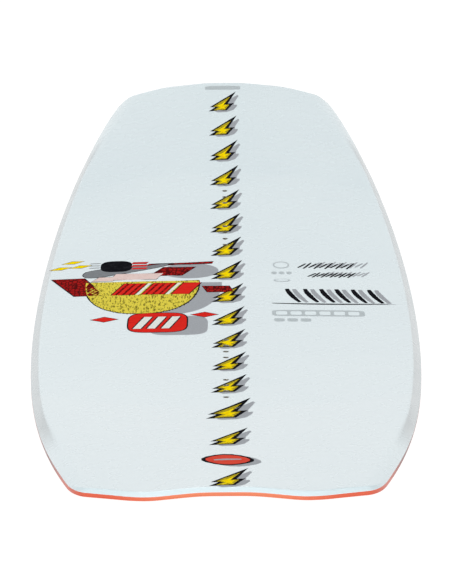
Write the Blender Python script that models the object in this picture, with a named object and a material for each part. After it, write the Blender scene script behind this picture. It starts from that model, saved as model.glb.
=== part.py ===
"""Twin-tip wakeboard without bindings: a rockered sandwich deck with inserts and four fins.

The frame: X runs across the board, Y along it and Z up. The origin is the middle of the
flat spot on which the base rests. Every length is in metres.
"""

import math

import bmesh
import bpy
import numpy as np
from mathutils import Matrix, Vector

# Plan shape
HALF_LENGTH = 0.760
HALF_WIDTH = 0.219
SIDE_CURVE = 0.0663        # narrowing towards the tips, square term
SIDE_TIGHTENING = 0.0206   # narrowing towards the tips, fourth-power term
SIDE_END = 0.695           # where the side runs into the rounded corner
CORNER_Y = 0.726           # where the side, drawn on straight, would meet the slanted end
CORNER_SHARE = 0.21        # share of the slanted end that the rounded corner takes
BEND_X = 0.0795            # where the slanted end would meet the straight end
BEND_LENGTH = 0.018        # the bend between them reaches this far each way

# Profile along the board
FLAT_SPOT = 0.040          # half length of the flat middle
ROCKER = 0.0633            # rise that the middle's curve would reach at the tips
CREASE = 0.441             # where the tips start, on the centreline
CREASE_BACK = 0.062        # how far that line curves back at CROWN_REACH
CROWN = 0.0031             # fall of the deck at CROWN_REACH
CROWN_REACH = 0.190
TIP_SLOPE = 0.125
TIP_SLOPE_FALL = 0.0139    # how much flatter the tip rises at its corners
TIP_CORNER_REACH = 0.147
RIDGE_HEIGHT = 0.0035      # raised middle of each tip, at its end
RIDGE_FLAT = 0.015
RIDGE_FOOT = 0.077

# Thickness and bevel
THICKNESS = 0.015
TIP_THICKNESS = 0.0085
BEVEL_WIDTH = 0.009
BEVEL_DROP = 0.0078
TIP_BEVEL_WIDTH = 0.003
TIP_BEVEL_DROP = 0.0041
BEVEL_FADE = (0.500, 0.660)
RAIL_WIDTH = 0.016
RAIL_SHOULDER = 0.0022     # the rail's shoulder lies this much further in than the bevel
RAIL_GAP = 0.0011          # its stations differ from the sheets' rows, so it needs more room

# Layers, from the deck down
GAP = 0.0003
TOPSHEET = 0.0008
TOPSHEET_EDGE = 0.0004
LAMINATE = 0.0006
BASE = 0.0012
CORE_TOP = TOPSHEET + GAP + LAMINATE + GAP
CORE_BOTTOM = BASE + GAP + LAMINATE + GAP

# Stringers and the lines that every layer is drawn on
STRINGER_EDGES = (0.020, 0.071, 0.122)
COLUMNS = (0.020, 0.0455, 0.071, 0.0965, 0.122)
STATIONS = (0.040, 0.110, 0.180, 0.250, 0.324)
TIP_STEPS = (0.0, 0.25, 0.5, 0.72, 0.9, 1.0)
OUTER_STRINGER_END = 0.680
BLOCK_ENDS = (0.163, 0.412)
SIDE_ROUNDS = 6            # rounds that bring a row's end onto the side
RAIL_STEP = 4              # the rail takes every fourth point of the sides and corners
RAIL_END_STEP = 6          # and every sixth one of the ends

# Binding inserts: an M6 six-inch pattern on the centreline
INSERT_FIRST = 0.1778
INSERT_PITCH = 0.022225
INSERT_PATTERN = 0.1524
INSERTS_PER_ROW = 4
INSERT_BORE = 0.0050
INSERT_BORE_DEPTH = 0.0085
INSERT_BARREL = 0.0110
INSERT_FLANGE = 0.0180
INSERT_FLANGE_THICKNESS = 0.002
INSERT_HEIGHT = 0.010
INSERT_SIDES = 10
DECK_HOLE = 0.0065
CUT_MARGIN = 0.001         # how far a cutter reaches past the layer that it cuts

# Fins
FIN_X = 0.1015
FIN_Y = 0.620
FIN_DEPTH = 0.020
FIN_ROOT = 0.058
FIN_THICKNESS = 0.006
FIN_LEVELS = ((-0.03, 1.0), (0.35, 0.86), (0.75, 0.62), (1.0, 0.34))   # (depth, length) shares
FIN_TIP_THICKNESS = 0.45   # share of the thickness that does not shrink with the length
FIN_SIDES = 12
FOOT_LENGTH = 0.092
FOOT_WIDTH = 0.018
FOOT_THICKNESS = 0.0035
FOOT_GAP = 0.0005
FOOT_ARC_STEPS = 8
FIN_SCREW_SPREAD = 0.037
FIN_SCREW = 0.0056
FIN_SCREW_LENGTH = 0.0095
FIN_SCREW_HEAD = 0.0108
FIN_SCREW_HEAD_HEIGHT = 0.0026
FIN_SCREW_SOCKET = 0.0036
FIN_SCREW_SOCKET_DEPTH = 0.0018
FIN_INSERT = 0.0110
FIN_INSERT_HEIGHT = 0.0050
FIN_INSERT_CAP = 0.0010
BASE_HOLE = 0.0072
HOLE_SIDES = 10

CURVE_POINTS = 24

# Colours
WHITE = (0.80, 0.83, 0.84)
GLASS = (0.71, 0.73, 0.65)
WOOD = (0.62, 0.44, 0.24)
ORANGE = (0.86, 0.18, 0.07)
RESIN = (0.12, 0.12, 0.13)
BLACK = (0.06, 0.06, 0.065)
BRASS = (0.55, 0.50, 0.40)
STEEL = (0.60, 0.60, 0.61)


def smooth_step(value):
    """Goes from 0 to 1 with level ends as value goes from 0 to 1."""
    value = np.clip(value, 0.0, 1.0)
    return value * value * (3.0 - 2.0 * value)


def bezier(start, middle, end):
    """Points of a quadratic curve from start to end, without its last point."""
    t = np.linspace(0.0, 1.0, CURVE_POINTS, endpoint=False)[:, None]
    start, middle, end = (np.array(point) for point in (start, middle, end))
    return start * (1 - t) ** 2 + middle * 2 * t * (1 - t) + end * t ** 2


def side_half_width(y):
    """Half width of the board at a distance y from its middle, along the side."""
    u = y / HALF_LENGTH
    return HALF_WIDTH - SIDE_CURVE * u ** 2 - SIDE_TIGHTENING * u ** 4


def bevel_share(y):
    """1 where the bevel has its full width, 0 at the tips."""
    start, end = BEVEL_FADE
    return np.clip((end - np.abs(y)) / (end - start), 0.0, 1.0)


def bevel_width(y):
    """Width of the bevel in plan."""
    return TIP_BEVEL_WIDTH + (BEVEL_WIDTH - TIP_BEVEL_WIDTH) * bevel_share(y)


def bevel_drop(y):
    """How far the edge lies below the deck's own surface."""
    return TIP_BEVEL_DROP + (BEVEL_DROP - TIP_BEVEL_DROP) * bevel_share(y)


def quarter_outline():
    """The outline from the widest point of one side to the middle of one end."""
    y = np.linspace(0.0, SIDE_END, 3 * CURVE_POINTS, endpoint=False)
    side = np.stack([side_half_width(y), y], axis=1)
    u = SIDE_END / HALF_LENGTH
    side_slope = -(2 * SIDE_CURVE * u + 4 * SIDE_TIGHTENING * u ** 3) / HALF_LENGTH
    start = np.array((side_half_width(SIDE_END), SIDE_END))
    corner_point = start + (CORNER_Y - SIDE_END) * np.array((side_slope, 1.0))
    bend_point = np.array((BEND_X, HALF_LENGTH))
    slant = bend_point - corner_point
    bend_start = bend_point - slant * BEND_LENGTH / np.linalg.norm(slant)
    bend_end = bend_point - (BEND_LENGTH, 0.0)
    corner = bezier(start, corner_point, corner_point + CORNER_SHARE * slant)
    bend = bezier(bend_start, bend_point, bend_end)
    x = np.linspace(bend_end[0], 0.0, CURVE_POINTS)
    end = np.stack([x, np.full_like(x, HALF_LENGTH)], axis=1)
    split = len(side) + CURVE_POINTS // 2
    return np.concatenate([side, corner, bend, end]), split


class Outline:
    """The board's outline, moved inwards by a fixed or a varying width."""

    def __init__(self, inset):
        points, split = quarter_outline()
        along = np.gradient(points, axis=0)
        along[0] = (0.0, 1.0)
        along[-1] = (-1.0, 0.0)
        along /= np.linalg.norm(along, axis=1)[:, None]
        inwards = np.stack([-along[:, 1], along[:, 0]], axis=1)
        width = inset(points[:, 1]) if callable(inset) else inset
        moved = points + inwards * np.reshape(width, (-1, 1))
        self.points = moved
        self.corner = moved[split]
        self.side = moved[:split + 1]
        self.end = moved[split:][::-1]

    def half_width(self, y):
        """Half width at a distance y from the middle."""
        return np.interp(y, self.side[:, 1], self.side[:, 0])

    def end_y(self, x):
        """Distance of the end from the middle, at x."""
        return np.interp(x, self.end[:, 0], self.end[:, 1])


def crease_y(x):
    """Distance from the middle at which the tip starts."""
    return CREASE - CREASE_BACK * (x / CROWN_REACH) ** 2


def rocker(y):
    """Rise of the middle's curve."""
    lift = np.maximum(np.abs(y), FLAT_SPOT) ** 2 - FLAT_SPOT ** 2
    return ROCKER * lift / HALF_LENGTH ** 2


def deck_height(x, y):
    """Height of the deck's surface, bevel left out."""
    x, y = np.abs(x), np.abs(y)
    start = crease_y(x)
    run = np.maximum(y - start, 0.0)
    middle = rocker(np.minimum(y, start)) - CROWN * (x / CROWN_REACH) ** 2
    slope = TIP_SLOPE - TIP_SLOPE_FALL * (x / TIP_CORNER_REACH) ** 2
    across = smooth_step((x - RIDGE_FLAT) / (RIDGE_FOOT - RIDGE_FLAT))
    ridge = RIDGE_HEIGHT * (1.0 - across) * (run / (HALF_LENGTH - CREASE)) ** 2
    return THICKNESS + middle + slope * run + ridge


def base_height(x, y):
    """Height of the running surface underneath."""
    start = crease_y(np.abs(x))
    share = np.clip((np.abs(y) - start) / (HALF_LENGTH - start), 0.0, 1.0)
    middle = THICKNESS - CROWN * (x / CROWN_REACH) ** 2
    thickness = middle + (TIP_THICKNESS - middle) * share
    return deck_height(x, y) - thickness


def rows_at(x, end_y):
    """The y of every row on one half, from the middle to the end, at x."""
    start = crease_y(x)
    between = 0.5 * (STATIONS[-1] + start)
    tip = [start + step * (end_y - start) for step in TIP_STEPS]
    return list(STATIONS) + [between] + tip


def side_point(outline, row):
    """Where a row meets the side of an outline."""
    x, y = outline.corner
    if row == len(rows_at(x, y)) - 1:
        return x, y
    x = outline.half_width(rows_at(x, y)[row])
    for _ in range(SIDE_ROUNDS):
        y = rows_at(x, outline.corner[1])[row]
        x = outline.half_width(y)
    return x, y


def half_grid(outline):
    """Plan positions of one quarter: rows towards the end, columns towards the side."""
    rows = []
    for row in range(len(STATIONS) + 1 + len(TIP_STEPS)):
        side_x, side_y = side_point(outline, row)
        across = list(COLUMNS) + [0.5 * (COLUMNS[-1] + side_x)]
        line = [(x, rows_at(x, outline.end_y(x))[row]) for x in across]
        rows.append(line + [(side_x, side_y)])
    return np.array(rows)


def with_edge(grid):
    """A quarter grid with the board's own outline added round it."""
    outline = Outline(0.0)
    outer = [(outline.half_width(y), y) for y in grid[:, -1, 1]]
    grid = np.concatenate([grid, np.array(outer)[:, None, :]], axis=1)
    x = grid[-1, :-1, 0]
    last = list(zip(x, outline.end_y(x))) + [tuple(outline.corner)]
    return np.concatenate([grid, np.array(last)[None]], axis=0)


def mirrored(grid):
    """The whole board's grid from one quarter's."""
    half = np.concatenate([(grid * (-1, 1))[:, ::-1], grid], axis=1)
    return np.concatenate([(half * (1, -1))[::-1], half], axis=0)


def new_object(name, mesh, colour, roughness=0.5, metallic=0.0):
    """Adds a mesh to the scene under a name, with a material of its own."""
    material = bpy.data.materials.new(name)
    material.use_nodes = True
    shader = material.node_tree.nodes["Principled BSDF"]
    shader.inputs["Base Color"].default_value = (*colour, 1.0)
    shader.inputs["Roughness"].default_value = roughness
    shader.inputs["Metallic"].default_value = metallic
    material.diffuse_color = (*colour, 1.0)
    mesh.materials.append(material)
    result = bpy.data.objects.new(name, mesh)
    bpy.context.collection.objects.link(result)
    return result


def mesh_from(name, vertices, faces):
    """A mesh whose faces all point outwards."""
    mesh = bpy.data.meshes.new(name)
    mesh.from_pydata([tuple(map(float, vertex)) for vertex in vertices], [], faces)
    shape = bmesh.new()
    shape.from_mesh(mesh)
    bmesh.ops.recalc_face_normals(shape, faces=shape.faces)
    shape.to_mesh(mesh)
    shape.free()
    return mesh


def slab(name, plan, top, bottom):
    """A closed sheet over a grid of plan positions, between two grids of heights.

    Each cell's diagonal starts at the corner nearest the board's middle, so that layers
    whose cells lie over each other bend along the same lines.
    """
    rows, columns = plan.shape[:2]
    count = rows * columns
    vertices = [(*plan[i, j], top[i, j]) for i in range(rows) for j in range(columns)]
    vertices += [(*plan[i, j], bottom[i, j]) for i in range(rows) for j in range(columns)]
    faces = []
    for i in range(rows - 1):
        for j in range(columns - 1):
            a = i * columns + j
            corners = (a, a + 1, a + columns + 1, a + columns)
            reach = [abs(vertices[k][0]) + abs(vertices[k][1]) for k in corners]
            first = reach.index(min(reach))
            p, q, r, s = corners[first:] + corners[:first]
            for lift in (0, count):
                faces.append((p + lift, q + lift, r + lift))
                faces.append((p + lift, r + lift, s + lift))
    border = list(range(columns))
    border += [i * columns + columns - 1 for i in range(1, rows)]
    border += [(rows - 1) * columns + j for j in range(columns - 2, -1, -1)]
    border += [i * columns for i in range(rows - 2, 0, -1)]
    for a, b in zip(border, border[1:] + border[:1]):
        faces.append((a, b, b + count, a + count))
    return mesh_from(name, vertices, faces)


def turned(name, profile, sides):
    """A turned solid from (radius, height) points that start and end on the axis."""
    vertices = [(0.0, 0.0, profile[0][1])]
    rings = profile[1:-1]
    for radius, height in rings:
        for k in range(sides):
            angle = 2 * math.pi * k / sides
            vertices.append((radius * math.cos(angle), radius * math.sin(angle), height))
    last = len(vertices)
    vertices.append((0.0, 0.0, profile[-1][1]))
    faces = []
    for k in range(sides):
        after = (k + 1) % sides
        faces.append((0, 1 + after, 1 + k))
        for ring in range(len(rings) - 1):
            a = 1 + ring * sides
            b = a + sides
            faces.append((a + k, a + after, b + after, b + k))
        a = 1 + (len(rings) - 1) * sides
        faces.append((a + k, a + after, last))
    return mesh_from(name, vertices, faces)


def helper(name, mesh):
    """A hidden object that only shapes other ones."""
    result = bpy.data.objects.new(name, mesh)
    bpy.context.collection.objects.link(result)
    result.hide_render = True
    result.display_type = "WIRE"
    return result


def cutter(name, profile, places):
    """One helper with the same turned shape at each place."""
    shape = bmesh.new()
    for place in places:
        one = turned(name, profile, HOLE_SIDES)
        one.transform(place)
        shape.from_mesh(one)
        bpy.data.meshes.remove(one)
    mesh = bpy.data.meshes.new(name)
    shape.to_mesh(mesh)
    shape.free()
    return helper(name, mesh)


def combine(target, other, operation):
    """Adds a Boolean with another object."""
    modifier = target.modifiers.new(other.name, "BOOLEAN")
    modifier.operation = operation
    modifier.solver = "EXACT"
    modifier.object = other


def plug(diameter, low, high):
    """Profile of a plain cylinder."""
    radius = diameter / 2
    return [(0.0, low), (radius, low), (radius, high), (0.0, high)]


def surface_frame(height, x, y):
    """The frame that stands on a surface: Z along its normal, Y along the board."""
    step = 0.002
    slope_x = (height(x + step, y) - height(x - step, y)) / (2 * step)
    slope_y = (height(x, y + step) - height(x, y - step)) / (2 * step)
    normal = Vector((-slope_x, -slope_y, 1.0)).normalized()
    along = Vector((0.0, 1.0, slope_y)).normalized()
    across = along.cross(normal).normalized()
    along = normal.cross(across)
    frame = Matrix((across, along, normal)).transposed().to_4x4()
    frame.translation = (x, y, float(height(x, y)))
    return frame


def insert_places():
    """Names and deck frames of the binding inserts, rear foot first."""
    places = {}
    for end, sign in (("rear", -1), ("front", 1)):
        number = 1
        for group in range(2):
            for step in range(INSERTS_PER_ROW):
                y = INSERT_FIRST + group * INSERT_PATTERN + step * INSERT_PITCH
                name = f"binding_insert_{end}_{number}"
                places[name] = surface_frame(deck_height, 0.0, sign * y)
                number += 1
    return places


def fin_places():
    """Names and base frames of the fins."""
    places = {}
    for end, sign_y in (("rear", -1), ("front", 1)):
        for hand, sign_x in (("left", -1), ("right", 1)):
            frame = surface_frame(base_height, sign_x * FIN_X, sign_y * FIN_Y)
            places[f"{end}_{hand}"] = frame
    return places


def fin_screw_places():
    """Names and base frames of the fin screws."""
    places = {}
    for name, frame in fin_places().items():
        for end, sign in (("inner", -1), ("outer", 1)):
            along = sign if name.startswith("front") else -sign
            shift = Matrix.Translation((0.0, along * FIN_SCREW_SPREAD, 0.0))
            places[f"{name}_{end}"] = frame @ shift
    return places


def build_topsheet(holes):
    """White deck skin with its bevel, down to the widest line of the board."""
    plan = mirrored(with_edge(half_grid(Outline(bevel_width))))
    top = deck_height(plan[..., 0], plan[..., 1])
    edge = np.zeros(top.shape, dtype=bool)
    edge[[0, -1], :] = True
    edge[:, [0, -1]] = True
    top = np.where(edge, top - bevel_drop(plan[..., 1]), top)
    bottom = top - np.where(edge, TOPSHEET_EDGE, TOPSHEET)
    sheet = new_object("topsheet", slab("topsheet", plan, top, bottom), WHITE, 0.2)
    combine(sheet, holes, "DIFFERENCE")


def build_laminates(deck_holes, base_holes):
    """Glass-fibre skins above and below the core."""
    plan = mirrored(half_grid(Outline(RAIL_WIDTH + GAP)))
    x, y = plan[..., 0], plan[..., 1]
    top = deck_height(x, y) - TOPSHEET - GAP
    mesh = slab("top_laminate", plan, top, top - LAMINATE)
    combine(new_object("top_laminate", mesh, GLASS, 0.4), deck_holes, "DIFFERENCE")
    bottom = base_height(x, y) + BASE + GAP
    mesh = slab("bottom_laminate", plan, bottom + LAMINATE, bottom)
    combine(new_object("bottom_laminate", mesh, GLASS, 0.4), base_holes, "DIFFERENCE")


def build_base(holes):
    """Orange running base, as wide and long as the board."""
    plan = mirrored(half_grid(Outline(0.0)))
    bottom = base_height(plan[..., 0], plan[..., 1])
    mesh = slab("base_sheet", plan, bottom + BASE, bottom)
    combine(new_object("base_sheet", mesh, ORANGE, 0.3), holes, "DIFFERENCE")


def build_rail():
    """Orange ring round the core, between the topsheet and the base."""
    outer = Outline(0.0).points
    shoulder = Outline(lambda y: bevel_width(y) + RAIL_SHOULDER).points
    inner = Outline(RAIL_WIDTH).points
    last = len(outer) - 1
    picked = list(range(0, last - CURVE_POINTS, RAIL_STEP))
    picked += list(range(picked[-1] + RAIL_STEP, last, RAIL_END_STEP)) + [last]
    signs = [(1, 1), (-1, 1), (-1, -1), (1, -1)]
    vertices = []
    for number, (sign_x, sign_y) in enumerate(signs):
        order = picked[:-1] if number % 2 == 0 else picked[:0:-1]
        for k in order:
            sign = np.array((sign_x, sign_y))
            edge, bevel, inside = outer[k] * sign, shoulder[k] * sign, inner[k] * sign
            drop = bevel_drop(edge[1])
            section = [
                (*edge, deck_height(*edge) - drop - TOPSHEET_EDGE - RAIL_GAP),
                (*bevel, deck_height(*bevel) - TOPSHEET - RAIL_GAP),
                (*inside, deck_height(*inside) - TOPSHEET - RAIL_GAP),
                (*inside, base_height(*inside) + BASE + RAIL_GAP),
                (*edge, base_height(*edge) + BASE + RAIL_GAP),
            ]
            vertices += section
    count = len(section)
    rings = len(vertices) // count
    faces = []
    for ring in range(rings):
        a = ring * count
        b = (ring + 1) % rings * count
        for k in range(count):
            after = (k + 1) % count
            faces.append((a + k, a + after, b + after, b + k))
    new_object("rail", mesh_from("rail", vertices, faces), ORANGE, 0.35)


def core_slab(name, plan, colour=WOOD):
    """A piece of the core that fills the height between the laminates."""
    x, y = plan[..., 0], plan[..., 1]
    top = deck_height(x, y) - CORE_TOP
    bottom = base_height(x, y) + CORE_BOTTOM
    return new_object(name, slab(name, plan, top, bottom), colour, 0.7)


def build_center_stringers(pockets):
    """The stringer on the centreline, in three lengths, with a dense block at each foot."""
    outline = Outline(RAIL_WIDTH + GAP)
    half = STRINGER_EDGES[0] - GAP / 2
    across = (-half, 0.0, half)
    block_start, block_end = BLOCK_ENDS
    rows = rows_at(0.0, outline.end_y(0.0))
    middle = [y for y in rows if y < block_start - GAP] + [block_start - GAP]
    middle = [-y for y in middle[::-1]] + middle
    core_slab("core_center_middle", np.array([[(x, y) for x in across] for y in middle]))
    foot = [block_start] + [y for y in rows if block_start < y < block_end] + [block_end]
    tip = [block_end + GAP] + [y for y in rows if y > block_end + GAP]
    for end, sign in (("rear", -1), ("front", 1)):
        plan = np.array([[(x, sign * y) for x in across] for y in foot])
        block = core_slab(f"insert_block_{end}", plan, RESIN)
        combine(block, pockets, "DIFFERENCE")
        plan = np.array([[(x, sign * y) for x in across] for y in tip])
        core_slab(f"core_center_{end}", plan)


def build_side_stringers(pockets):
    """Three stringers on each side, the outermost one following the rail."""
    outline = Outline(RAIL_WIDTH + GAP)
    bands = {
        "inner": (STRINGER_EDGES[0], STRINGER_EDGES[1]),
        "middle": (STRINGER_EDGES[1], STRINGER_EDGES[2]),
    }
    for band, (low, high) in bands.items():
        across = np.linspace(low + GAP / 2, high - GAP / 2, 3)
        rows = np.array([[(x, y) for y in rows_at(x, outline.end_y(x))] for x in across])
        quarter = rows.transpose(1, 0, 2)
        plan = np.concatenate([(quarter * (1, -1))[::-1], quarter])
        for hand, sign in (("left", -1), ("right", 1)):
            stringer = core_slab(f"core_{hand}_{band}", plan * (sign, 1))
            if band == "middle":
                combine(stringer, pockets, "DIFFERENCE")
    inside = STRINGER_EDGES[2] + GAP / 2
    quarter = []
    for row in range(len(STATIONS) + len(TIP_STEPS)):
        x, y = side_point(outline, row)
        y_inside = min(rows_at(inside, outline.end_y(inside))[row], OUTER_STRINGER_END)
        quarter.append([(inside, y_inside), (0.5 * (inside + x), 0.5 * (y + y_inside)), (x, y)])
    quarter = np.array(quarter)
    plan = np.concatenate([(quarter * (1, -1))[::-1], quarter])
    for hand, sign in (("left", -1), ("right", 1)):
        core_slab(f"core_{hand}_outer", plan * (sign, 1))


def insert_profile():
    """Half section of a binding insert, measured down from the deck."""
    top = -CORE_TOP
    low = top - INSERT_HEIGHT
    bore, barrel, flange = INSERT_BORE / 2, INSERT_BARREL / 2, INSERT_FLANGE / 2
    shoulder = low + INSERT_FLANGE_THICKNESS
    profile = [(0.0, low), (flange, low), (flange, shoulder), (barrel, shoulder)]
    profile += [(barrel, top), (bore, top), (bore, top - INSERT_BORE_DEPTH)]
    return profile + [(0.0, top - INSERT_BORE_DEPTH)]


def insert_pocket():
    """Half section of the stepped hole that an insert sits in."""
    shoulder = -CORE_TOP - INSERT_HEIGHT + INSERT_FLANGE_THICKNESS + GAP
    barrel, flange = INSERT_BARREL / 2 + GAP, INSERT_FLANGE / 2 + GAP
    profile = [(0.0, -THICKNESS), (flange, -THICKNESS), (flange, shoulder)]
    return profile + [(barrel, shoulder), (barrel, 0.0), (0.0, 0.0)]


def fin_insert_profile():
    """Half section of a fin insert, measured up from the base."""
    low = CORE_BOTTOM
    high = low + FIN_INSERT_HEIGHT
    bore = FIN_SCREW / 2 + GAP
    end = high - FIN_INSERT_CAP
    outside = FIN_INSERT / 2
    profile = [(0.0, end), (bore, end), (bore, low), (outside, low)]
    return profile + [(outside, high), (0.0, high)]


def fin_screw_profile():
    """Half section of a countersunk fin screw, with a round recess for the key."""
    low = -FOOT_GAP - FOOT_THICKNESS
    neck = low + FIN_SCREW_HEAD_HEIGHT
    head, shank, socket = FIN_SCREW_HEAD / 2, FIN_SCREW / 2, FIN_SCREW_SOCKET / 2
    end = low + FIN_SCREW_LENGTH
    recess = low + FIN_SCREW_SOCKET_DEPTH
    profile = [(0.0, recess), (socket, recess), (socket, low), (head, low)]
    return profile + [(shank, neck), (shank, end), (0.0, end)]


def foot_hole_profile():
    """Half section of the countersunk hole in a fin's foot."""
    low = -FOOT_GAP - FOOT_THICKNESS
    neck = low + FIN_SCREW_HEAD_HEIGHT
    head, shank = FIN_SCREW_HEAD / 2 + GAP, FIN_SCREW / 2 + GAP
    profile = [(0.0, low - CUT_MARGIN), (head, low - CUT_MARGIN), (head, low + GAP)]
    return profile + [(shank, neck + GAP), (shank, 0.0), (0.0, 0.0)]


def foot_mesh():
    """The flat foot of a fin with round ends, in its base frame."""
    radius = FOOT_WIDTH / 2
    straight = FOOT_LENGTH / 2 - radius
    rim = []
    for side in (1, -1):
        for k in range(FOOT_ARC_STEPS + 1):
            angle = math.pi * k / FOOT_ARC_STEPS
            rim.append((radius * math.cos(angle) * side, (straight + radius * math.sin(angle)) * side))
    count = len(rim)
    vertices = [(x, y, z) for z in (-FOOT_GAP - FOOT_THICKNESS, -FOOT_GAP) for x, y in rim]
    faces = [tuple(range(count)), tuple(range(count, 2 * count))]
    faces += [(k, (k + 1) % count, (k + 1) % count + count, k + count) for k in range(count)]
    return mesh_from("fin_foot", vertices, faces)


def blade_mesh():
    """The thin tapered blade of a fin, hanging from its foot."""
    vertices = []
    for depth, share in FIN_LEVELS:
        z = -FOOT_GAP - FOOT_THICKNESS - depth * FIN_DEPTH
        thickness = FIN_THICKNESS * (FIN_TIP_THICKNESS + (1 - FIN_TIP_THICKNESS) * share)
        for k in range(FIN_SIDES):
            angle = 2 * math.pi * k / FIN_SIDES
            x = thickness / 2 * math.sin(angle)
            y = FIN_ROOT / 2 * share * math.cos(angle)
            vertices.append((x, y, z))
    last = (len(FIN_LEVELS) - 1) * FIN_SIDES
    faces = [tuple(range(FIN_SIDES)), tuple(range(last, last + FIN_SIDES))]
    for a in range(0, last, FIN_SIDES):
        for k in range(FIN_SIDES):
            after = (k + 1) % FIN_SIDES
            faces.append((a + k, a + after, a + FIN_SIDES + after, a + FIN_SIDES + k))
    return mesh_from("fin_blade", vertices, faces)


def build_fins():
    """Four fins, each a foot and a blade joined, with two countersunk holes."""
    foot, blade = foot_mesh(), blade_mesh()
    shifts = [Matrix.Translation((0.0, sign * FIN_SCREW_SPREAD, 0.0)) for sign in (-1, 1)]
    for name, frame in fin_places().items():
        fin = new_object(f"fin_{name}", foot.copy(), BLACK, 0.35)
        fin.data.transform(frame)
        part = helper(f"blade_{name}", blade.copy())
        part.data.transform(frame)
        combine(fin, part, "UNION")
        holes = cutter(f"foot_holes_{name}", foot_hole_profile(), [frame @ shift for shift in shifts])
        combine(fin, holes, "DIFFERENCE")


def build_fittings():
    """Threaded inserts and screws."""
    for name, frame in insert_places().items():
        mesh = turned(name, insert_profile(), INSERT_SIDES)
        new_object(name, mesh, BRASS, 0.3, 1.0).matrix_world = frame
    for name, frame in fin_screw_places().items():
        mesh = turned(name, fin_insert_profile(), INSERT_SIDES)
        new_object(f"fin_insert_{name}", mesh, BRASS, 0.3, 1.0).matrix_world = frame
        mesh = turned(name, fin_screw_profile(), INSERT_SIDES)
        new_object(f"fin_screw_{name}", mesh, STEEL, 0.25, 1.0).matrix_world = frame


def main():
    """Builds the whole board."""
    for item in list(bpy.data.objects):
        bpy.data.objects.remove(item)
    inserts = list(insert_places().values())
    screws = list(fin_screw_places().values())
    deep = -TOPSHEET - GAP - LAMINATE - CUT_MARGIN
    deck_holes = cutter("deck_holes", plug(DECK_HOLE, deep, CUT_MARGIN), inserts)
    base_holes = cutter("base_holes", plug(BASE_HOLE, -CUT_MARGIN, CORE_BOTTOM + GAP), screws)
    pockets = cutter("insert_pockets", insert_pocket(), inserts)
    fin_pocket = plug(FIN_INSERT + 2 * GAP, 0.0, THICKNESS)
    fin_pockets = cutter("fin_pockets", fin_pocket, screws)
    build_topsheet(deck_holes)
    build_laminates(deck_holes, base_holes)
    build_base(base_holes)
    build_rail()
    build_center_stringers(pockets)
    build_side_stringers(fin_pockets)
    build_fittings()
    build_fins()


main()
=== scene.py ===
"""Looks of a twin-tip wakeboard: a rockered white deck with printed graphics, an orange
sidewall and base, threaded binding inserts and four short fins.

X runs across the board, Y along it and Z up, and the origin is the middle of the flat
spot on which the base rests. Every length is in metres.
"""

import logging
import math
from dataclasses import dataclass, field
from enum import Enum
from typing import Callable, Sequence

import bmesh
import bpy
import numpy as np
from mathutils import Matrix, Vector
from mathutils.geometry import delaunay_2d_cdt


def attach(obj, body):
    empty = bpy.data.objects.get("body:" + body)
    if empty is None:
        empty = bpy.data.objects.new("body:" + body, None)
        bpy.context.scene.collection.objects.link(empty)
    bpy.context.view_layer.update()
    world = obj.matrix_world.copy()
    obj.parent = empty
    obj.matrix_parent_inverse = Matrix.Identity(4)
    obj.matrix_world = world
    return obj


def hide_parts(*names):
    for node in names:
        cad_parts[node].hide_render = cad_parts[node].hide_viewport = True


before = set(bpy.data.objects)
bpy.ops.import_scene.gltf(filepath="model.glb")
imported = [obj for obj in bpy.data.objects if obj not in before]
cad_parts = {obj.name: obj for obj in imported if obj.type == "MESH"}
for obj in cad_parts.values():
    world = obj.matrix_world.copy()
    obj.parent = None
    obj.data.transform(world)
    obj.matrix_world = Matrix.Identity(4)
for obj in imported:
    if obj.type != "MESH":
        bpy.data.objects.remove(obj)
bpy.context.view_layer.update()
BODY = "root"
LOG = logging.getLogger("wakeboard")

Points = np.ndarray
Colour = tuple[float, float, float]
MILLIMETRE = 0.001
OPAQUE = 1.0
# The bevel share picks where the white topsheet is painted grey as shade.
BEVEL_SHADE_SHARE = "bevel_share"     # 1 on the topsheet's bevel
RIM_SHARE = "rim_share"         # 1 on the outer edge under the topsheet


def smooth_step(value: Points, low: float = 0.0, high: float = 1.0) -> Points:
    """Goes from 0 to 1 with level ends as value goes from low to high."""
    share = np.clip((value - low) / (high - low), 0.0, 1.0)
    return share * share * (3.0 - 2.0 * share)


def bend(start: Sequence[float], control: Sequence[float], end: Sequence[float], count: int) -> Points:
    """A quadratic curve between two points.

    Args:
        start: First point.
        control: Point that the curve's ends aim at.
        end: Last point, which is left out of the result.
        count: Number of points.

    Returns:
        The points, one a row.
    """
    t = np.linspace(0.0, 1.0, count, endpoint=False)[:, None]
    first, middle, last = (np.array(point, float) for point in (start, control, end))
    return first * (1 - t) ** 2 + middle * 2 * t * (1 - t) + last * t ** 2


# ---------------------------------------------------------------------------
# Shape of the board
# ---------------------------------------------------------------------------


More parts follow.
